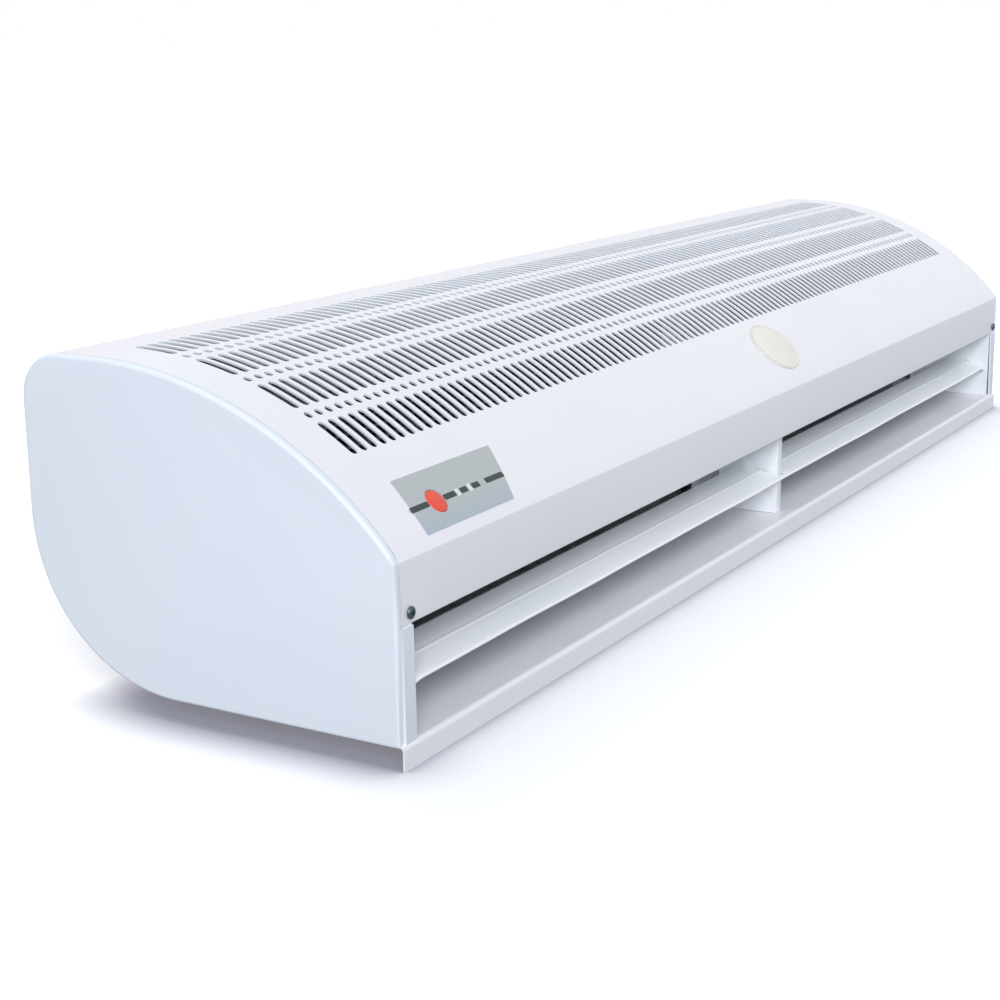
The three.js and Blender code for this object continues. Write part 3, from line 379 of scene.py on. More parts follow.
def bentSection(path, thickness):
    # a path and the same path moved to its right by the thickness, as one closed outline
    other = []
    for i, point in enumerate(path):
        before = Vector(point) - Vector(path[i - 1]) if i else None
        after = Vector(path[i + 1]) - Vector(point) if i < len(path) - 1 else None
        sides = [Vector((d.y, -d.x)).normalized() for d in (before, after) if d is not None]
        across = sum(sides, Vector((0, 0)))
        reach = 2 * thickness / across.length_squared if len(sides) == 2 else thickness
        other.append(tuple(Vector(point) + across * reach))
    return path + other[::-1]


def drawnOut(section, x0, x1):
    ends = [[inFrame(x, u, v) for u, v in section] for x in (x0, x1)]
    return tidied(loft(ends, capStart=True, capEnd=True))


def turnedPiece(profile, centre, sides):
    # a closed profile of (radius, place along X) turned about a line parallel to X
    rings = []
    for i in range(sides):
        angle = 2 * math.pi * i / sides
        across, up = math.cos(angle), math.sin(angle)
        rings.append([inFrame(x, centre[0] + r * across, centre[1] + r * up) for r, x in profile])
    return tidied(loft(rings + rings[:1]))


def withHoles(mesh, cutters):
    # cuts the holes in one pass
    base, tool = draftObject(mesh), draftObject(joined(cutters))
    cut = base.modifiers.new("holes", "BOOLEAN")
    cut.operation = "DIFFERENCE"
    cut.solver = "EXACT"
    cut.object = tool
    result = settled(base)
    bpy.data.objects.remove(tool)
    return result


def sheetHole(x, depth, height, radius):
    # a cutter straight through an upright sheet
    reach = case["cutReach"]
    return pin(inFrame(x, depth - reach, height), inFrame(x, depth + reach, height), radius * mm)


def pin(start, end, radius, sides=24):
    # a cylinder between two points of the frame
    axis = (end - start).normalized()
    side = axis.orthogonal().normalized()
    other = axis.cross(side)
    rings = []
    for point in (start, end):
        angles = [2 * math.pi * i / sides for i in range(sides)]
        rings.append([point + (side * math.cos(a) + other * math.sin(a)) * radius for a in angles])
    return tidied(loft(rings, capStart=True, capEnd=True))


# Geometry Nodes for what repeats
class Rule:
    # a Geometry Nodes tree with named inputs, run on one draft object
    def __init__(self, name, **inputs):
        self.tree = bpy.data.node_groups.new(name, "GeometryNodeTree")
        sockets = self.tree.interface
        for way in ("INPUT", "OUTPUT"):
            sockets.new_socket("Geometry", in_out=way, socket_type="NodeSocketGeometry")
        for label, kind in {**inputs, "Finish": "Material"}.items():
            sockets.new_socket(label, in_out="INPUT", socket_type="NodeSocket" + kind)
        self.given = self.tree.nodes.new("NodeGroupInput").outputs
        self.result = self.tree.nodes.new("NodeGroupOutput").inputs[0]

    def node(self, kind, links=None, **values):
        made = self.tree.nodes.new(kind)
        for key, value in values.items():
            setattr(made, key, value)
        for socket, source in (links or {}).items():
            if isinstance(source, bpy.types.NodeSocket):
                self.tree.links.new(source, made.inputs[socket])
            else:
                made.inputs[socket].default_value = source
        return made.outputs

    def close(self, instances):
        real = self.node("GeometryNodeRealizeInstances", {"Geometry": instances})[0]
        links = {"Geometry": real, "Material": self.given["Finish"]}
        self.tree.links.new(self.node("GeometryNodeSetMaterial", links)[0], self.result)
        return self

    def run(self, mesh, **values):
        draft = draftObject(mesh)
        modifier = draft.modifiers.new(self.tree.name, "NODES")
        modifier.node_group = self.tree
        for item in self.tree.interface.items_tree:
            if item.in_out == "INPUT" and item.name in values:
                modifier[item.identifier] = values[item.name]
        return settled(draft)


def rowRule():
    # copies of the input piece at a steady pitch along X
    rule = Rule("row", Count="Int", First="Float", Pitch="Float")
    offset = rule.node("ShaderNodeCombineXYZ", {"X": rule.given["Pitch"]})[0]
    start = rule.node("ShaderNodeCombineXYZ", {"X": rule.given["First"]})[0]
    links = {"Count": rule.given["Count"], "Start Location": start, "Offset": offset}
    line = rule.node("GeometryNodeMeshLine", links)[0]
    links = {"Points": line, "Instance": rule.given["Geometry"]}
    return rule.close(rule.node("GeometryNodeInstanceOnPoints", links)[0])


def ringRule():
    # copies of the input piece, turned evenly about the X axis and then set at a centre
    rule = Rule("ring", Count="Int", Centre="Vector")
    line = rule.node("GeometryNodeMeshLine", {"Count": rule.given["Count"], "Offset": (0, 0, 0)})[0]
    parts = {0: 2 * math.pi, 1: rule.given["Count"]}
    share = rule.node("ShaderNodeMath", parts, operation="DIVIDE")[0]
    index = rule.node("GeometryNodeInputIndex")[0]
    angle = rule.node("ShaderNodeMath", {0: index, 1: share}, operation="MULTIPLY")[0]
    turn = rule.node("ShaderNodeCombineXYZ", {"X": angle})[0]
    links = {"Points": line, "Instance": rule.given["Geometry"], "Rotation": turn}
    copies = rule.node("GeometryNodeInstanceOnPoints", links)[0]
    links = {"Geometry": copies, "Translation": rule.given["Centre"]}
    return rule.close(rule.node("GeometryNodeTransform", links)[0])


def seatRule():
    # one copy of a piece on each point of the input, its Z along the point's own outward attribute
    rule = Rule("seats", Piece="Object")
    info = rule.node("GeometryNodeObjectInfo", {"Object": rule.given["Piece"]})
    wanted = {"Name": "outward"}
    named = rule.node("GeometryNodeInputNamedAttribute", wanted, data_type="FLOAT_VECTOR")[0]
    turn = rule.node("FunctionNodeAlignRotationToVector", {"Vector": named}, axis="Z")[0]
    links = {"Points": rule.given["Geometry"], "Instance": info["Geometry"], "Rotation": turn}
    return rule.close(rule.node("GeometryNodeInstanceOnPoints", links)[0])


row, ring, seats = rowRule(), ringRule(), seatRule()
print("rules built")

# Front cover
cover = {
    "slotWidth": 6.2,
    "slotLength": 30.5,
    "slotPitch": 10.2,
    "columns": 110,
    "firstRow": 72.5,  # fold to the first row
    "rowPitch": 46.4,
    "rows": 4,
    "dashLength": 6,
    "dashFromRow": 4.9,  # row of slots to the row of dashes above it
    "slotSteps": 4,  # faces along a slot, so that it follows the curve
    "curveSteps": 9,  # faces from the fold to the first row
    "margin": 4,
    "foldBend": 2.4,
    "edgeBend": 1.5,
    "flange": 10,
}


def coverHoles():
    holes = []
    for number in range(cover["rows"]):
        start = cover["firstRow"] + number * cover["rowPitch"]
        holes.append((start, start + cover["slotLength"]))
        if number < cover["rows"] - 1:
            dash = start + cover["slotLength"] + cover["dashFromRow"]
            holes.append((dash, dash + cover["dashLength"]))
    return holes


def tipRadius(start, end):
    # the round end of a hole: half the slot's width, or a little less than half of a short dash
    return min(cover["slotWidth"] / 2, (end - start) / 2 - 0.3)


def straightLevels(start, end):
    # the levels along the straight sides of a hole
    tip = tipRadius(start, end)
    first, last = start + tip, end - tip
    steps = cover["slotSteps"] if end - start > cover["dashLength"] else 1
    return [first + (last - first) * i / steps for i in range(steps + 1)]


def coverFront():
    # from the inward flange up the band and over the fold to the first row of slots
    steps = cover["curveSteps"]
    rowStart = cover["firstRow"] - cover["margin"]
    line = [(cover["flange"], bandBottom), (0, bandBottom), (0, case["foldHeight"])]
    line += [onCover(rowStart * i / steps) for i in range(1, steps + 1)]
    line = rounded(line, 2, cover["foldBend"], 5)
    return rounded(line, 1, cover["edgeBend"], 4)


def coverRear():
    # from the end of the curve over the crown corner to the edge of the skirt
    radius = case["crownCornerRadius"]
    centre = (case["depth"] - radius, case["height"] - radius)
    crown = arcPoints(centre, radius, 90, 0, 10)
    return [onCover(arcLength), *crown, (case["depth"], case["skirtHeight"])]


def coverColumn(width):
    # one column of the cover: every level from flange to skirt, with the holes of each row
    verts, faces, known = [], [], {}

    def vert(x, level):
        spot = level if isinstance(level, tuple) else onCover(level)
        key = (round(x, 5), round(spot[0], 5), round(spot[1], 5))
        if key not in known:
            known[key] = len(verts)
            verts.append(inFrame(x, *spot))
        return known[key]

    def face(corners, flipped):
        ids = [vert(x, level) for x, level in corners]
        faces.append(tuple(ids[::-1] if flipped else ids))

    def plain(levels, side):
        for low, high in zip(levels, levels[1:]):
            face([(0, low), (side, low), (side, high), (0, high)], side < 0)

    holes = coverHoles()
    edges = [cover["firstRow"] - cover["margin"]]
    edges += [(a[1] + b[0]) / 2 for a, b in zip(holes, holes[1:])] + [arcLength]
    for side in (width / 2, -width / 2):
        plain(coverFront(), side)
        plain(coverRear(), side)
        for (start, end), low, high in zip(holes, edges, edges[1:]):
            tip = tipRadius(start, end)
            reach = math.copysign(tip, side)
            levels = straightLevels(start, end)
            tips = []
            for x, s in arcPoints((0, 0), tip, 0, 90, 3)[1:]:
                tips.append((math.copysign(x, side) if x > 1e-6 else 0, s))
            lowTip = [(x, start + tip - s) for x, s in tips]
            highTip = [(x, end - tip + s) for x, s in tips]
            for a, b in zip(levels, levels[1:]):
                face([(reach, a), (side, a), (side, b), (reach, b)], side < 0)
            corners = [(0, low), (side, low), (side, levels[0]), (reach, levels[0]), *lowTip]
            face(corners, side < 0)
            corners = [(0, high), *highTip[::-1], (reach, levels[-1]), (side, levels[-1])]
            face([*corners, (side, high)], side < 0)
    return meshFrom(verts, faces)


def coverMargin(x0, x1):
    # the plain end of the cover, with the levels that the columns have on their sides
    levels = coverFront()
    edges = [(a[1] + b[0]) / 2 for a, b in zip(coverHoles(), coverHoles()[1:])] + [arcLength]
    for (start, end), high in zip(coverHoles(), edges):
        levels += [onCover(level) for level in straightLevels(start, end)]
        levels.append(onCover(high))
    levels += coverRear()[1:]
    sides = [[inFrame(x, *level) for level in levels] for x in (x0, x1)]
    return loft(sides, closed=False)


def labelAxes():
    # across the label strip, up its slope and out of it, at the centre of the button
    first, last = button["chord"]
    low, high = (inFrame(0, *onCover(s)) for s in (first, last))
    upSlope = (high - low).normalized()
    outward = Vector((1, 0, 0)).cross(upSlope)
    share = (button["fromFold"] - first) / (last - first)
    centre = low.lerp(high, share) + Vector(((button["start"] - half) * mm, 0, 0))
    return upSlope, outward, centre


def buttonHole():
    # the cutter of the hole round the button
    outward, centre = labelAxes()[1:]
    reach = outward * button["cutReach"] * mm
    return pin(centre - reach, centre + reach, (button["radius"] + case["gap"]) * mm, 48)


button = {
    "start": 70.5,
    "fromFold": 25.5,
    "chord": (12, 40),  # the part of the cover's curve that the button is square to
    "cutReach": 6,
    "radius": 8,
    "proud": 1.6,
    "crown": 0.5,
    "soft": 0.9,
    "flange": 10,
    "flangeTop": -1.5,
    "flangeFoot": -3,
    "stem": 3,
    "drop": 6.3,  # cover to the stem's lower end
}
screws = {
    "bandInset": 14,
    "bandRise": 7.5,
    "skirtInset": 120,
    "skirtRise": 6,
    "hole": 2.2,
    "head": 3.8,
    "height": 1.9,
    "rim": 0.5,
    "recess": 1.1,
    "armLength": 4.2,
    "armWidth": 0.8,
    "shank": 8,
    "shankRadius": 1.9,
    "point": 1.2,
}


def addCover():
    width = cover["slotPitch"]
    endX = half - case["panelRim"] - case["gap"]
    firstX = -width * (cover["columns"] - 1) / 2
    column = coverColumn(width)
    finish = finishes["cover_coat"]
    places = {"Count": cover["columns"], "First": firstX * mm, "Pitch": width * mm}
    field = row.run(column, Finish=finish, **places)
    field.materials.clear()
    edgeX = -firstX + width / 2
    shell = joined([field, coverMargin(-endX, -edgeX), coverMargin(edgeX, endX)])
    tidied(shell, 2e-6)
    if max(shell.polygons, key=lambda p: p.center.z).normal.z < 0:
        shell.flip_normals()
    draft = draftObject(shell)
    wall = draft.modifiers.new("wall", "SOLIDIFY")
    wall.thickness = case["sheet"] * mm
    wall.offset = -1
    wall.use_even_offset = True
    # the rim faces take the darker slot-wall colour, painted shade
    wall.material_offset_rim = 1
    shell.materials.append(finish)
    shell.materials.append(slotWallShade)
    shell = settled(draft)
    cutters = [buttonHole()]
    bandLevel = bandBottom + screws["bandRise"]
    skirtLevel = case["skirtHeight"] + screws["skirtRise"]
    for side in (-1, 1):
        x = side * (half - screws["bandInset"])
        cutters.append(sheetHole(x, 0, bandLevel, screws["hole"]))
        x = side * (half - screws["skirtInset"])
        cutters.append(sheetHole(x, case["depth"], skirtLevel, screws["hole"]))
    addPiece("slotted_cover", withHoles(shell, cutters), "root", "cover_coat", ["front_cover"])


addCover()
print("front cover made")

# End panels
panel = {
    "plate": 1.5,
    "roll": 2.6,
    "rollSteps": 7,
    "foldBend": 2.4,
    "footBend": 1.2,
    "flangeInset": 1.5,
    "flangeSheet": 1.2,
    "edgeBreak": 0.35,
    "curveSteps": 34,
}


def caseOutline(inset, front):
    # the end outline moved inwards; the part of the front below the band has its own inset
    radius = coverRadius - inset
    start = math.pi - math.acos((crownDepth - inset) / radius)
    steps = panel["curveSteps"]
    angles = [start + (math.pi / 2 - start) * i / steps for i in range(steps + 1)]
    across, up = arcCentre
    curve = [(across + radius * math.cos(a), up + radius * math.sin(a)) for a in angles]
    crown = case["crownCornerRadius"]
    back = case["backCornerRadius"]
    depth, height = case["depth"], case["height"]
    points = [(inset, inset)] + curve
    points += arcPoints((depth - crown, height - crown), crown - inset, 90, 0, 9)
    points += arcPoints((depth - back, back), back - inset, 0, -90, 24)
    points = rounded(points, 1, max(panel["foldBend"] - inset, 0.05), 5)
    points = rounded(points, 0, max(panel["footBend"] - inset, 0.05), 3)
    lower = [(u + (front - inset), v) for u, v in points[:4]]
    notch = [(front, bandBottom - 2 * case["gap"]), (inset, bandBottom - case["gap"])]
    return lower + notch + points[4:]


def addEndPanel(side):
    name = "left" if side < 0 else "right"
    roll, flange, plate = panel["roll"], panel["flangeInset"], panel["plate"]
    rim, reach, edge = case["panelRim"], case["flangeReach"], panel["edgeBreak"]
    inner = flange + panel["flangeSheet"]
    # from the end, its inset, and its inset below the band: up inside the flange and back outside
    outline = [(plate, inner, plate), (reach, inner, plate), (reach, flange, 0)]
    outline += [(rim, flange, 0), (rim, edge, 0), (rim - edge, 0, 0)]
    for i in range(panel["rollSteps"] + 1):
        angle = math.pi / 2 * i / panel["rollSteps"]
        inset = roll * (1 - math.cos(angle))
        outline.append((roll * (1 - math.sin(angle)), inset, inset))
    rings = []
    for fromEnd, inset, front in outline:
        x = side * (half - fromEnd)
        rings.append([inFrame(x, u, v) for u, v in caseOutline(inset, front)])
    mesh = tidied(loft(rings, capStart=True, capEnd=True))
    node = f"end_panel_{name}"
    addPiece(f"{node}_pressed", mesh, "root", "panel_coat", [node], smoothTo=40)


addEndPanel(-1)
addEndPanel(1)
print("end panels made")

# Back shell with its lip
shellForm = {
    "lipFace": -2.2,
    "lipBend": 3.2,
    "lipEndSetback": 1.5,
    "joggle": 12,
    "grommetStart": 40,
    "grommetHeight": 136,
    "grommetHole": 11.3,
}


def addBackShell():
    sheet, gap = case["sheet"], case["gap"]
    depth, back = case["depth"], case["backCornerRadius"]
    skirt, inset = case["skirtHeight"], case["sheet"] + case["gap"]
    lip, bend = shellForm["lipFace"], shellForm["lipBend"]
    # the skirt, the corner and the flat back, with the sheet's thickness inwards
    line = [(depth - inset, skirt + shellForm["joggle"]), (depth - inset, skirt - gap)]
    line.append((depth, skirt - gap - inset))
    line += arcPoints((depth - back, back), back, 0, -90, 28)
    line.append((bend + lip, 0))
    reach = half - case["panelRim"] - gap
    shell = drawnOut(bentSection(line, sheet), -reach, reach)
    # the lip, down its front to the floor and back up behind it
    bendCentre, foot = (lip + bend, -bend + sheet), -case["standoff"]
    lipSection = arcPoints(bendCentre, bend, 90, 180, 8)
    lipSection += [(lip, foot), (lip + sheet, foot)]
    lipSection += arcPoints(bendCentre, bend - sheet, 180, 90, 6)
    reach = half - shellForm["lipEndSetback"]
    lipMesh = drawnOut(lipSection, -reach, reach)
    x = shellForm["grommetStart"] - half
    hole = sheetHole(x, depth, shellForm["grommetHeight"], shellForm["grommetHole"])
    mesh = joined([withHoles(shell, [hole]), lipMesh])
    addPiece("bent_back_shell", mesh, "root", "cover_coat", ["back_shell"], smoothTo=40)


addBackShell()
print("back shell made")

# Vane
vane = {
    "front": 5,
    "chord": 40,
    "height": 32.4,
    "rise": 5.4,
    "camber": 0.8,
    "sheet": 1.2,
    "reach": 580,
    "ribCentre": -7,
    "notchHalf": 7,
    "notchFront": 8.5,
    "curl": 1.6,
    "hub": 4.6,
    "hubEdge": 0.4,
    "bore": 2.8,
    "dip": 2.6,  # how far the front corners bend down
    "dipRun": 16,
    "dipDepth": 18,
    "waves": ((0.35, 41, 0.4), (0.25, 23, 2.1)),  # height, run and shift of each slow wave
    "step": 14,
}


def vaneHeight(share):
    bow = vane["camber"] * math.sin(math.pi * share)
    return vane["height"] + vane["sheet"] + vane["rise"] * share + bow


def addVane():
    # the strip as a surface with a small curl at its front edge, then its wall and its hub tubes
    front, chord, radius = vane["front"], vane["chord"], vane["curl"]
    curl = arcPoints((front + radius, vaneHeight(0) - radius), radius, 190, 90, 5)
    shares = [(vane["notchFront"] - front) / chord, 0.14, 0.26, 0.4, 0.55, 0.7, 0.85, 1]
    line = curl + [(front + chord * s, vaneHeight(s)) for s in shares]
    notch = [vane["ribCentre"] - vane["notchHalf"], vane["ribCentre"] + vane["notchHalf"]]
    reach, run = vane["reach"], vane["dipRun"]
    ends = [reach - run * (1 - i / 6) for i in range(7)]
    inner = [-x for x in ends] + notch + ends
    for start, end in ((ends[0] * -1, notch[0]), (notch[1], ends[0])):
        count = round((end - start) / vane["step"])
        inner += [start + (end - start) * i / count for i in range(1, count)]
    stations = sorted(inner)
    verts, faces = [], []
    for x in stations:
        near = max(0, (abs(x) - reach + run) / run)
        wave = sum(h * (math.sin(x / length + shift) - 1) / 2 for h, length, shift in vane["waves"])
        for u, v in line:
            frontness = max(0, 1 - (u - front) / vane["dipDepth"])
            verts.append(inFrame(x, u, v + (wave - vane["dip"] * near ** 2) * frontness))
    count = len(line)
    for i, (a, b) in enumerate(zip(stations, stations[1:])):
        for k in range(count - 1):
            if (a, b) == tuple(notch) and k >= len(curl):
                continue
            here, there = i * count + k, (i + 1) * count + k
            faces.append((here, there, there + 1, here + 1))
    strip = meshFrom(verts, faces)
    if strip.polygons[-1].normal.z < 0:
        strip.flip_normals()
    draft = draftObject(strip)
    wall = draft.modifiers.new("wall", "SOLIDIFY")
    wall.thickness = vane["sheet"] * mm
    wall.offset = -1
    parts = [settled(draft)]
    hub, edge, bore = vane["hub"], vane["hubEdge"], vane["bore"]
    pivot = (front + chord / 2, vane["height"] + vane["rise"] / 2 - hub / 2)
    for x0, x1 in ((-reach, notch[0]), (notch[1], reach)):
        profile = [(bore, x0), (hub - edge, x0), (hub, x0 + edge), (hub, x1 - edge)]
        profile += [(hub - edge, x1), (bore, x1), (bore, x0)]
        parts.append(turnedPiece(profile, pivot, 28))
    addPiece("vane_blade", joined(parts), "vane", "vane_coat", ["outlet_vane"])


addVane()
print("vane made")

# Control label and button
label = {
    "corners": ((39.5, 6), (142, 6), (161, 49.5), (45.5, 49.5)),  # along the length, from the fold
    "round": 3.2,
    "lift": 0.1,
    "thickness": 0.5,
    "inkSink": 0.05,
    "inkRise": 0.08,
    "markRound": 0.5,
    "barHalf": 1.4,
    "bars": ((43.6, 61.6), (79.4, 91.4), (97.8, 104.6), (111.0, 118.6), (126.8, 147.2)),
    "ticks": ((93.3, 95.7), (107.0, 109.4)),
    "tickHalf": 2.1,
}


def onLabel(along, fromFold, raised):
    return inFrame(along - half, *onCover(fromFold, raised))


def filmPatch(outline, low, high, columns=28):
    # a patch of film that follows the cover: an outline in length and distance from the fold
    work = bmesh.new()
    flat = [work.verts.new((u, s, 0)) for u, s in outline]
    work.faces.new(flat)
    spots = [s for _, s in outline]
    bottom, spread = min(spots), max(spots) - min(spots)
    for i in range(1, columns):
        geometry = work.verts[:] + work.edges[:] + work.faces[:]
        level = (0, bottom + spread * i / columns, 0)
        bmesh.ops.bisect_plane(work, geom=geometry, plane_co=level, plane_no=(0, 1, 0), dist=1e-5)
    skin = bmesh.ops.extrude_face_region(work, geom=work.faces[:])
    lifted = {v for v in skin["geom"] if isinstance(v, bmesh.types.BMVert)}
    for v in work.verts:
        v.co = onLabel(v.co.x, v.co.y, high if v in lifted else low)
    bmesh.ops.recalc_face_normals(work, faces=work.faces)
    mesh = bpy.data.meshes.new("film")
    work.to_mesh(mesh)
    work.free()
    return mesh


def addLabel():
    outline = list(label["corners"])
    for index in (3, 2, 1, 0):
        outline = rounded(outline, index, label["round"], 5)
    low, top = label["lift"], label["lift"] + label["thickness"]
    film = withHoles(filmPatch(outline, low, top, 10), [buttonHole()])
    addPiece("label_film", film, "root", "label_film", ["control_label"], smoothTo=50)
    middle = button["fromFold"]
    for name, spans, reach, material in (
        ("label_bar", label["bars"], label["barHalf"], labelInk),
        ("label_ticks", label["ticks"], label["tickHalf"], labelWhite),
    ):
        marks = []
        for start, end in spans:
            under, over = middle - reach, middle + reach
            box = [(start, under), (end, under), (end, over), (start, over)]
            for index in (3, 2, 1, 0):
                box = rounded(box, index, label["markRound"], 2)
            marks.append(filmPatch(box, top - label["inkSink"], top + label["inkRise"], 2))
        addPiece(name, joined(marks), "root", "label_film", material=material)


def addButton():
    # a domed cap with a soft edge, its flange behind the cover and the stem to the switch
    upSlope, outward, centre = labelAxes()
    across = Vector((1, 0, 0))
    radius, proud, soft, crown = (button[key] for key in ("radius", "proud", "soft", "crown"))
    stem, drop, flange = button["stem"], button["drop"], button["flange"]
    foot, top = button["flangeFoot"], button["flangeTop"]
    profile = [(0, -drop), (stem, -drop), (stem, foot)]
    profile += [(flange, foot), (flange, top), (radius, top)]
    profile += arcPoints((radius - soft, proud - crown - soft), soft, 0, 80, 5)
    profile += [(radius * s, proud - crown * s * s) for s in (0.75, 0.5, 0.25, 0)]
    sides = 56
    rings = []
    for i in range(sides):
        angle = 2 * math.pi * i / sides
        side = across * math.cos(angle) + upSlope * math.sin(angle)
        rings.append([centre + (side * r + outward * h) * mm for r, h in profile])
    mesh = tidied(loft(rings + rings[:1], closed=False))
    addPiece("button_cap", mesh, "button", "button_red", ["power_button"], smoothTo=40)


addLabel()
addButton()
print("label and button made")

# Badge, bare
badge = {
    "offset": 20,
    "fromFold": 40,
    "halfLength": 31,
    "halfWidth": 24.5,
    "dome": 2.3,
    "domeFoot": 0.8,
    "domeSteps": 12,
    "fullness": 2.4,
    "rim": 1.5,
    "rimHeight": 0.95,
    # the edge as shares of the half sizes, with the height over the cover
    "edge": ((0.02, 0.15), (1, 0.15), (1, 0.6), (0.992, 0.9), (0.98, 1.0)),
    "sides": 96,
}


def badgeRing(scale, raised):
    ring = []
    for i in range(badge["sides"]):
        angle = 2 * math.pi * i / badge["sides"]
        x = badge["offset"] + badge["halfLength"] * scale * math.cos(angle)
        fromFold = badge["fromFold"] + badge["halfWidth"] * scale * math.sin(angle)
        ring.append(inFrame(x, *onCover(fromFold, raised)))
    return ring


def addBadge():
    # a raised rim coloured darker and greyer than the dome, painted shade along its edge, and a
    # dome within it
    rimShare = 1 - badge["rim"] / badge["halfWidth"]
    foot, steps = badge["domeFoot"], badge["domeSteps"]
    edge = [*badge["edge"], (rimShare, badge["rimHeight"])]
    dome = [(rimShare - 0.01, foot)]
    for i in range(1, steps):
        share = (rimShare - 0.01) * (1 - i / steps)
        dome.append((share, foot + badge["dome"] * (1 - (share / rimShare) ** badge["fullness"])))
    dome.append((0.02, foot + badge["dome"]))
    rings = [badgeRing(*spot) for spot in edge + dome]
    mesh = tidied(loft(rings, capStart=True, capEnd=True))
    mesh.materials.append(finishes["badge_cream"])
    mesh.materials.append(badgeRimShade)
    for polygon in mesh.polygons:
        if polygon.index < badge["sides"] * (len(edge) - 1):
            polygon.material_index = 1
    addPiece("badge_dome", mesh, "root", "badge_cream", ["badge_plate"], smoothTo=50)


addBadge()
print("badge made")


# Screws
def crossScrew():
    # pan head with a cross recess, its seat at the origin and its shank along -Z
    head, height, rim = screws["head"], screws["height"], screws["rim"]
    shank, foot = screws["shankRadius"], -screws["shank"]
    profile = [(0, foot), (shank, foot + screws["point"]), (shank, 0), (head, 0), (head, rim)]
    for angle in (0.35, 0.75, 1.15):
        profile.append((head * math.cos(angle), rim + (height - rim) * math.sin(angle)))
    profile.append((0, height))
    rings = []
    for i in range(24):
        angle = 2 * math.pi * i / 24
        across, up = math.cos(angle), math.sin(angle)
        rings.append([Vector((r * across, r * up, h)) * mm for r, h in profile])
    body = tidied(loft(rings + rings[:1], closed=False))
    long, thin = screws["armLength"] / 2, screws["armWidth"] / 2
    for a, b in ((long, thin), (thin, long)):
        corners = [(-a, -b), (a, -b), (a, b), (-a, b)]
        levels = (height - screws["recess"], height + 1)
        ends = [[Vector((x, y, z)) * mm for x, y in corners] for z in levels]
        body = withHoles(body, [tidied(loft(ends, capStart=True, capEnd=True))])
    return body


def screwSeats():
    # where each screw of the case sits and which way its head looks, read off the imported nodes
    ways = {"band": (0, -1, 0), "skirt": (0, 1, 0), "bracket": (0, 0, -1), "strap": (0, 0, 1)}
    places = []
    for name in (name for name in nodes if "_screw_" in name):
        low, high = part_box(name)
        way = Vector(ways[name.split("_")[0]])
        seat = (low + high) / 2
        for axis in range(3):
            if way[axis]:
                outer = high[axis] if way[axis] > 0 else low[axis]
                seat[axis] = outer - way[axis] * screws["height"] * mm
        places.append((seat, way))
    return places


def addScrews():
    places = screwSeats()
    points = bpy.data.meshes.new("seats")
    points.from_pydata([tuple(p) for p, _ in places], [], [])
    outward = points.attributes.new("outward", "FLOAT_VECTOR", "POINT")
    outward.data.foreach_set("vector", [c for _, direction in places for c in direction])
    pattern = draftObject(crossScrew())
    mesh = seats.run(points, Piece=pattern, Finish=finishes["screw_zinc"])
    bpy.data.objects.remove(pattern)
    replaced = [name for name in nodes if "_screw_" in name]
    addPiece("case_screws", mesh, "root", "screw_zinc", replaced)


addScrews()
print("screws set")

# Fan wheels
wheel = {
    "start": 75,
    "end": 525,
    "radius": 55,
    "blades": 36,
    "bladeDepth": 12.5,
    "bladeRadius": 11,
    "bladeSheet": 0.9,
    "bladeInset": 1.5,
    "lean": 24,
    "rings": 7,
    "ringSheet": 1.6,
    "rimWidth": 15,
    "disc": 2.5,
    "hubHole": 20.3,
    "bossHole": 11.3,
    "boss": 11,
    "bossLength": 22,
    "bore": 5.3,
}


def bladeMesh(x0, x1):
    # one forward-curved blade near the top of the wheel, drawn about the X axis
    swing = math.degrees(wheel["bladeDepth"] / wheel["bladeRadius"])
    front = arcPoints((0, 0), wheel["bladeRadius"], -swing / 2, swing / 2, 5)
    back = arcPoints((0, 0), wheel["bladeRadius"] + wheel["bladeSheet"], swing / 2, -swing / 2, 5)
    turn = Matrix.Rotation(math.radians(wheel["lean"]), 2)
    middle = wheel["radius"] - wheel["bladeInset"] - wheel["bladeDepth"] / 2
    section = []
    for u, v in front + back:
        spot = turn @ Vector((u - wheel["bladeRadius"], v))
        section.append((spot.x, spot.y + middle))
    ends = [[Vector((x, u, v)) * mm for u, v in section] for x in (x0, x1)]
    return tidied(loft(ends, capStart=True, capEnd=True))


def washer(x0, x1, inner, outer, sides=48):
    profile = [(inner, x0), (outer, x0), (outer, x1), (inner, x1), (inner, x0)]
    return turnedPiece(profile, fanAxis, sides)


def addWheel(side):
    name = "left" if side < 0 else "right"
    x0, x1 = sorted((side * (half - wheel["start"]), side * (half - wheel["end"])))
    disc, radius, thick = wheel["disc"], wheel["radius"], wheel["ringSheet"] / 2
    centre = inFrame(0, *fanAxis)
    finish = finishes["wheel_dark"]
    blade = bladeMesh(x0 + disc, x1 - disc)
    blades = ring.run(blade, Count=wheel["blades"], Centre=centre, Finish=finish)
    span = (x1 - x0 - 2 * disc) / (wheel["rings"] + 1)
    rim = washer(-thick, thick, radius - wheel["rimWidth"], radius)
    first = (x0 + disc + span) * mm
    rings = row.run(rim, Count=wheel["rings"], First=first, Pitch=span * mm, Finish=finish)
    holes = (wheel["bossHole"], wheel["hubHole"])[::-side]  # the boss is at the outer end
    ends = [washer(x0, x0 + disc, holes[0], radius), washer(x1 - disc, x1, holes[1], radius)]
    bossX = x0 if side < 0 else x1 - wheel["bossLength"]
    ends.append(washer(bossX, bossX + wheel["bossLength"], wheel["bore"], wheel["boss"]))
    for mesh in (blades, rings):
        mesh.materials.clear()
    node = f"fan_wheel_{name}"
    addPiece(f"{node}_blades", joined([blades, rings, *ends]), "rotor", "wheel_dark", [node])


addWheel(-1)
addWheel(1)
print("fan wheels made")

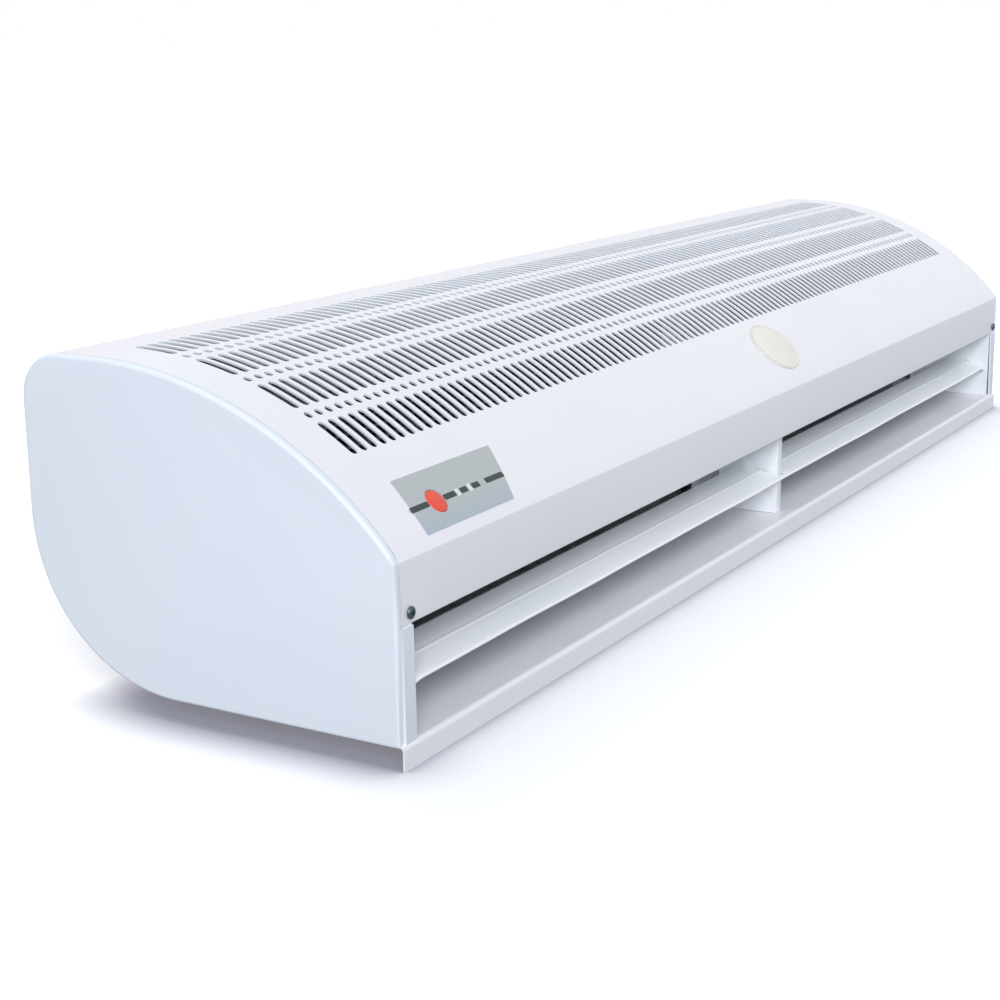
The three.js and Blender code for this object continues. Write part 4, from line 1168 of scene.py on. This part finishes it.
# Motor
motor = {
    "halfLength": 48,
    "core": 43.5,
    "fin": 47,
    "fins": 30,
    "finRoot": 0.9,  # half a fin's width at its root, and at its tip
    "finTip": 0.6,
    "bell": 36,
    "bellDepth": 12,
    "nose": 24,
    "noseDepth": 4,
    "bore": 5.3,
}


def addMotor():
    # one end of the housing as a profile, mirrored for the other, and the fins between them
    end, nose, bell = motor["halfLength"], motor["nose"], motor["bell"]
    noseEnd, bellEnd = -end + motor["noseDepth"], -end + motor["bellDepth"]
    fin, core = motor["fin"], motor["core"]
    side = [(motor["bore"], -end), (nose - 0.6, -end), (nose, -end + 0.6), (nose + 1, noseEnd - 1)]
    side += [(bell - 2, noseEnd), (bell + 4, noseEnd + 1.4), (fin - 1.4, bellEnd - 2.6)]
    side += [(fin, bellEnd - 0.6), (fin, bellEnd + 3), (core, bellEnd + 3.6)]
    profile = side + [(r, -x) for r, x in reversed(side)]
    body = turnedPiece([*profile, profile[0]], fanAxis, 72)
    reach = -bellEnd - 3.2
    root, tip = motor["finRoot"], motor["finTip"]
    corners = [(-root, core - 0.6), (root, core - 0.6), (tip, fin), (-tip, fin)]
    ends = [[Vector((x, u, v)) * mm for u, v in corners] for x in (-reach, reach)]
    blade = tidied(loft(ends, capStart=True, capEnd=True))
    finish = finishes["motor_housing"]
    fins = ring.run(blade, Count=motor["fins"], Centre=inFrame(0, *fanAxis), Finish=finish)
    fins.materials.clear()
    addPiece("motor_finned", joined([body, fins]), "root", "motor_housing", ["motor_body"])


addMotor()
print("motor made")


# CAD pieces with softened edges
def addSoftened(node, width):
    # a merged copy of the solid, its flat faces made whole and its sharp edges bevelled
    work = bmesh.new()
    work.from_mesh(nodes[node].data)
    flat, sharp = math.radians(0.5), math.radians(32)
    bmesh.ops.remove_doubles(work, verts=work.verts, dist=1e-6)
    bmesh.ops.dissolve_limit(work, angle_limit=flat, verts=work.verts, edges=work.edges)
    edges = [e for e in work.edges if e.is_manifold and e.calc_face_angle(0) > sharp]
    shape = {"offset": width * mm, "segments": 2, "profile": 0.5, "clamp_overlap": True}
    bmesh.ops.bevel(work, geom=edges, affect="EDGES", **shape)
    mesh = bpy.data.meshes.new(node)
    work.to_mesh(mesh)
    work.free()
    addPiece(f"{node}_softened", mesh, "root", slotOf[node], [node])


softened = {  # the width of each piece's bevels
    "wall_bracket_left": 0.5,
    "wall_bracket_right": 0.5,
    "centre_rib": 0.4,
    "motor_cradle": 0.4,
    "terminal_block": 0.5,
    "power_switch": 0.5,
    "control_board": 0.2,
    "duct_ceiling": 0.25,
}
for node, width in softened.items():
    addSoftened(node, width)
print("edges softened:", len(softened))

# Floor, light and background
studio = {
    "floorSize": 200,
    "floorDrop": 1e-5,  # just under the object's lowest edge
    "floorTone": (0.34, 0.34, 0.35, 1),  # the floor that the object sees
    "floorWhite": (1, 1, 1, 1),  # the floor that the camera sees
    "floorGlow": (0.2, 0.2, 0.22, 1),
    "contactTone": (0.13, 0.13, 0.2, 1),
    "contactReach": 0.045,
    "contactFull": 0.42,  # the openness at which the contact shadow is darkest
    "worldLight": (0.87, 0.92, 1, 1),
    "worldStrength": 0.44,
}


def addFloor():
    # a matt floor; the camera sees it white, darkened only where the object shades it closely
    mesh = meshFrom([(x, y, 0) for x, y in ((-1, -1), (1, -1), (1, 1), (-1, 1))], [(0, 1, 2, 3)])
    mesh.transform(Matrix.Scale(studio["floorSize"] / 2, 4))
    mesh.transform(Matrix.Translation((0, 0, -studio["floorDrop"])))
    floor = draftObject(mesh)
    floor.name = "floor"
    material = bpy.data.materials.new("paleFloor")
    material.use_nodes = True
    tree = material.node_tree
    made, join = tree.nodes, tree.links.new
    shader = made["Principled BSDF"]
    shader.inputs["Roughness"].default_value = 1
    shader.inputs["Specular IOR Level"].default_value = 0
    rays = made.new("ShaderNodeLightPath")
    nearby = made.new("ShaderNodeAmbientOcclusion")
    nearby.inputs["Distance"].default_value = studio["contactReach"]
    openness = made.new("ShaderNodeMapRange")
    openness.inputs["From Min"].default_value = studio["contactFull"]
    join(nearby.outputs["AO"], openness.inputs["Value"])
    seenTone, tone = made.new("ShaderNodeMix"), made.new("ShaderNodeMix")
    for mix, first, second in (
        (seenTone, studio["contactTone"], studio["floorWhite"]),
        (tone, studio["floorTone"], (1, 1, 1, 1)),
    ):
        mix.data_type = "RGBA"
        mix.inputs[6].default_value = first
        mix.inputs[7].default_value = second
    join(openness.outputs[0], seenTone.inputs["Factor"])
    join(rays.outputs["Is Camera Ray"], tone.inputs["Factor"])
    join(seenTone.outputs[2], tone.inputs[7])
    join(tone.outputs[2], shader.inputs["Base Color"])
    shader.inputs["Emission Color"].default_value = studio["floorGlow"]
    seen = made.new("ShaderNodeMath")
    seen.operation = "ADD"
    seen.use_clamp = True
    join(rays.outputs["Is Camera Ray"], seen.inputs[0])
    join(rays.outputs["Is Glossy Ray"], seen.inputs[1])
    join(seen.outputs[0], shader.inputs["Emission Strength"])
    mesh.materials.append(material)


def addWorld():
    world = bpy.data.worlds.new("studio")
    bpy.context.scene.world = world
    world.use_nodes = True
    tree = world.node_tree
    light = tree.nodes["Background"]
    light.inputs["Color"].default_value = studio["worldLight"]
    light.inputs["Strength"].default_value = studio["worldStrength"]
    white = tree.nodes.new("ShaderNodeBackground")
    white.inputs["Color"].default_value = (1, 1, 1, 1)
    rays = tree.nodes.new("ShaderNodeLightPath")
    total = rays.outputs["Is Camera Ray"]
    for kind in ("Is Glossy Ray", "Is Transmission Ray"):
        add = tree.nodes.new("ShaderNodeMath")
        add.operation = "ADD"
        add.use_clamp = True
        tree.links.new(total, add.inputs[0])
        tree.links.new(rays.outputs[kind], add.inputs[1])
        total = add.outputs[0]
    mix = tree.nodes.new("ShaderNodeMixShader")
    tree.links.new(total, mix.inputs[0])
    tree.links.new(light.outputs[0], mix.inputs[1])
    tree.links.new(white.outputs[0], mix.inputs[2])
    tree.links.new(mix.outputs[0], tree.nodes["World Output"].inputs["Surface"])


lamps = {
    # the way towards each sun, its strength, how soft it is in degrees, and its colour
    "frontSun": {
        "way": (-0.7, -0.52, 0.48),
        "strength": 2.45,
        "soft": 30,
        "colour": (0.98, 0.99, 1),
    },
    "rearSun": {
        "way": (0.45, 0.7, 0.75),
        "strength": 0.7,
        "soft": 40,
        "colour": (1, 0.99, 0.98),
    },
}


def addLamps():
    for name, values in lamps.items():
        data = bpy.data.lights.new(name, "SUN")
        data.energy = values["strength"]
        data.angle = math.radians(values["soft"])
        data.color = values["colour"]
        lamp = bpy.data.objects.new(name, data)
        lamp.rotation_euler = Vector(values["way"]).to_track_quat("Z", "Y").to_euler()
        bpy.context.scene.collection.objects.link(lamp)


addFloor()
addWorld()
addLamps()
bpy.context.scene.view_settings.view_transform = "Standard"
print("floor and lights set")
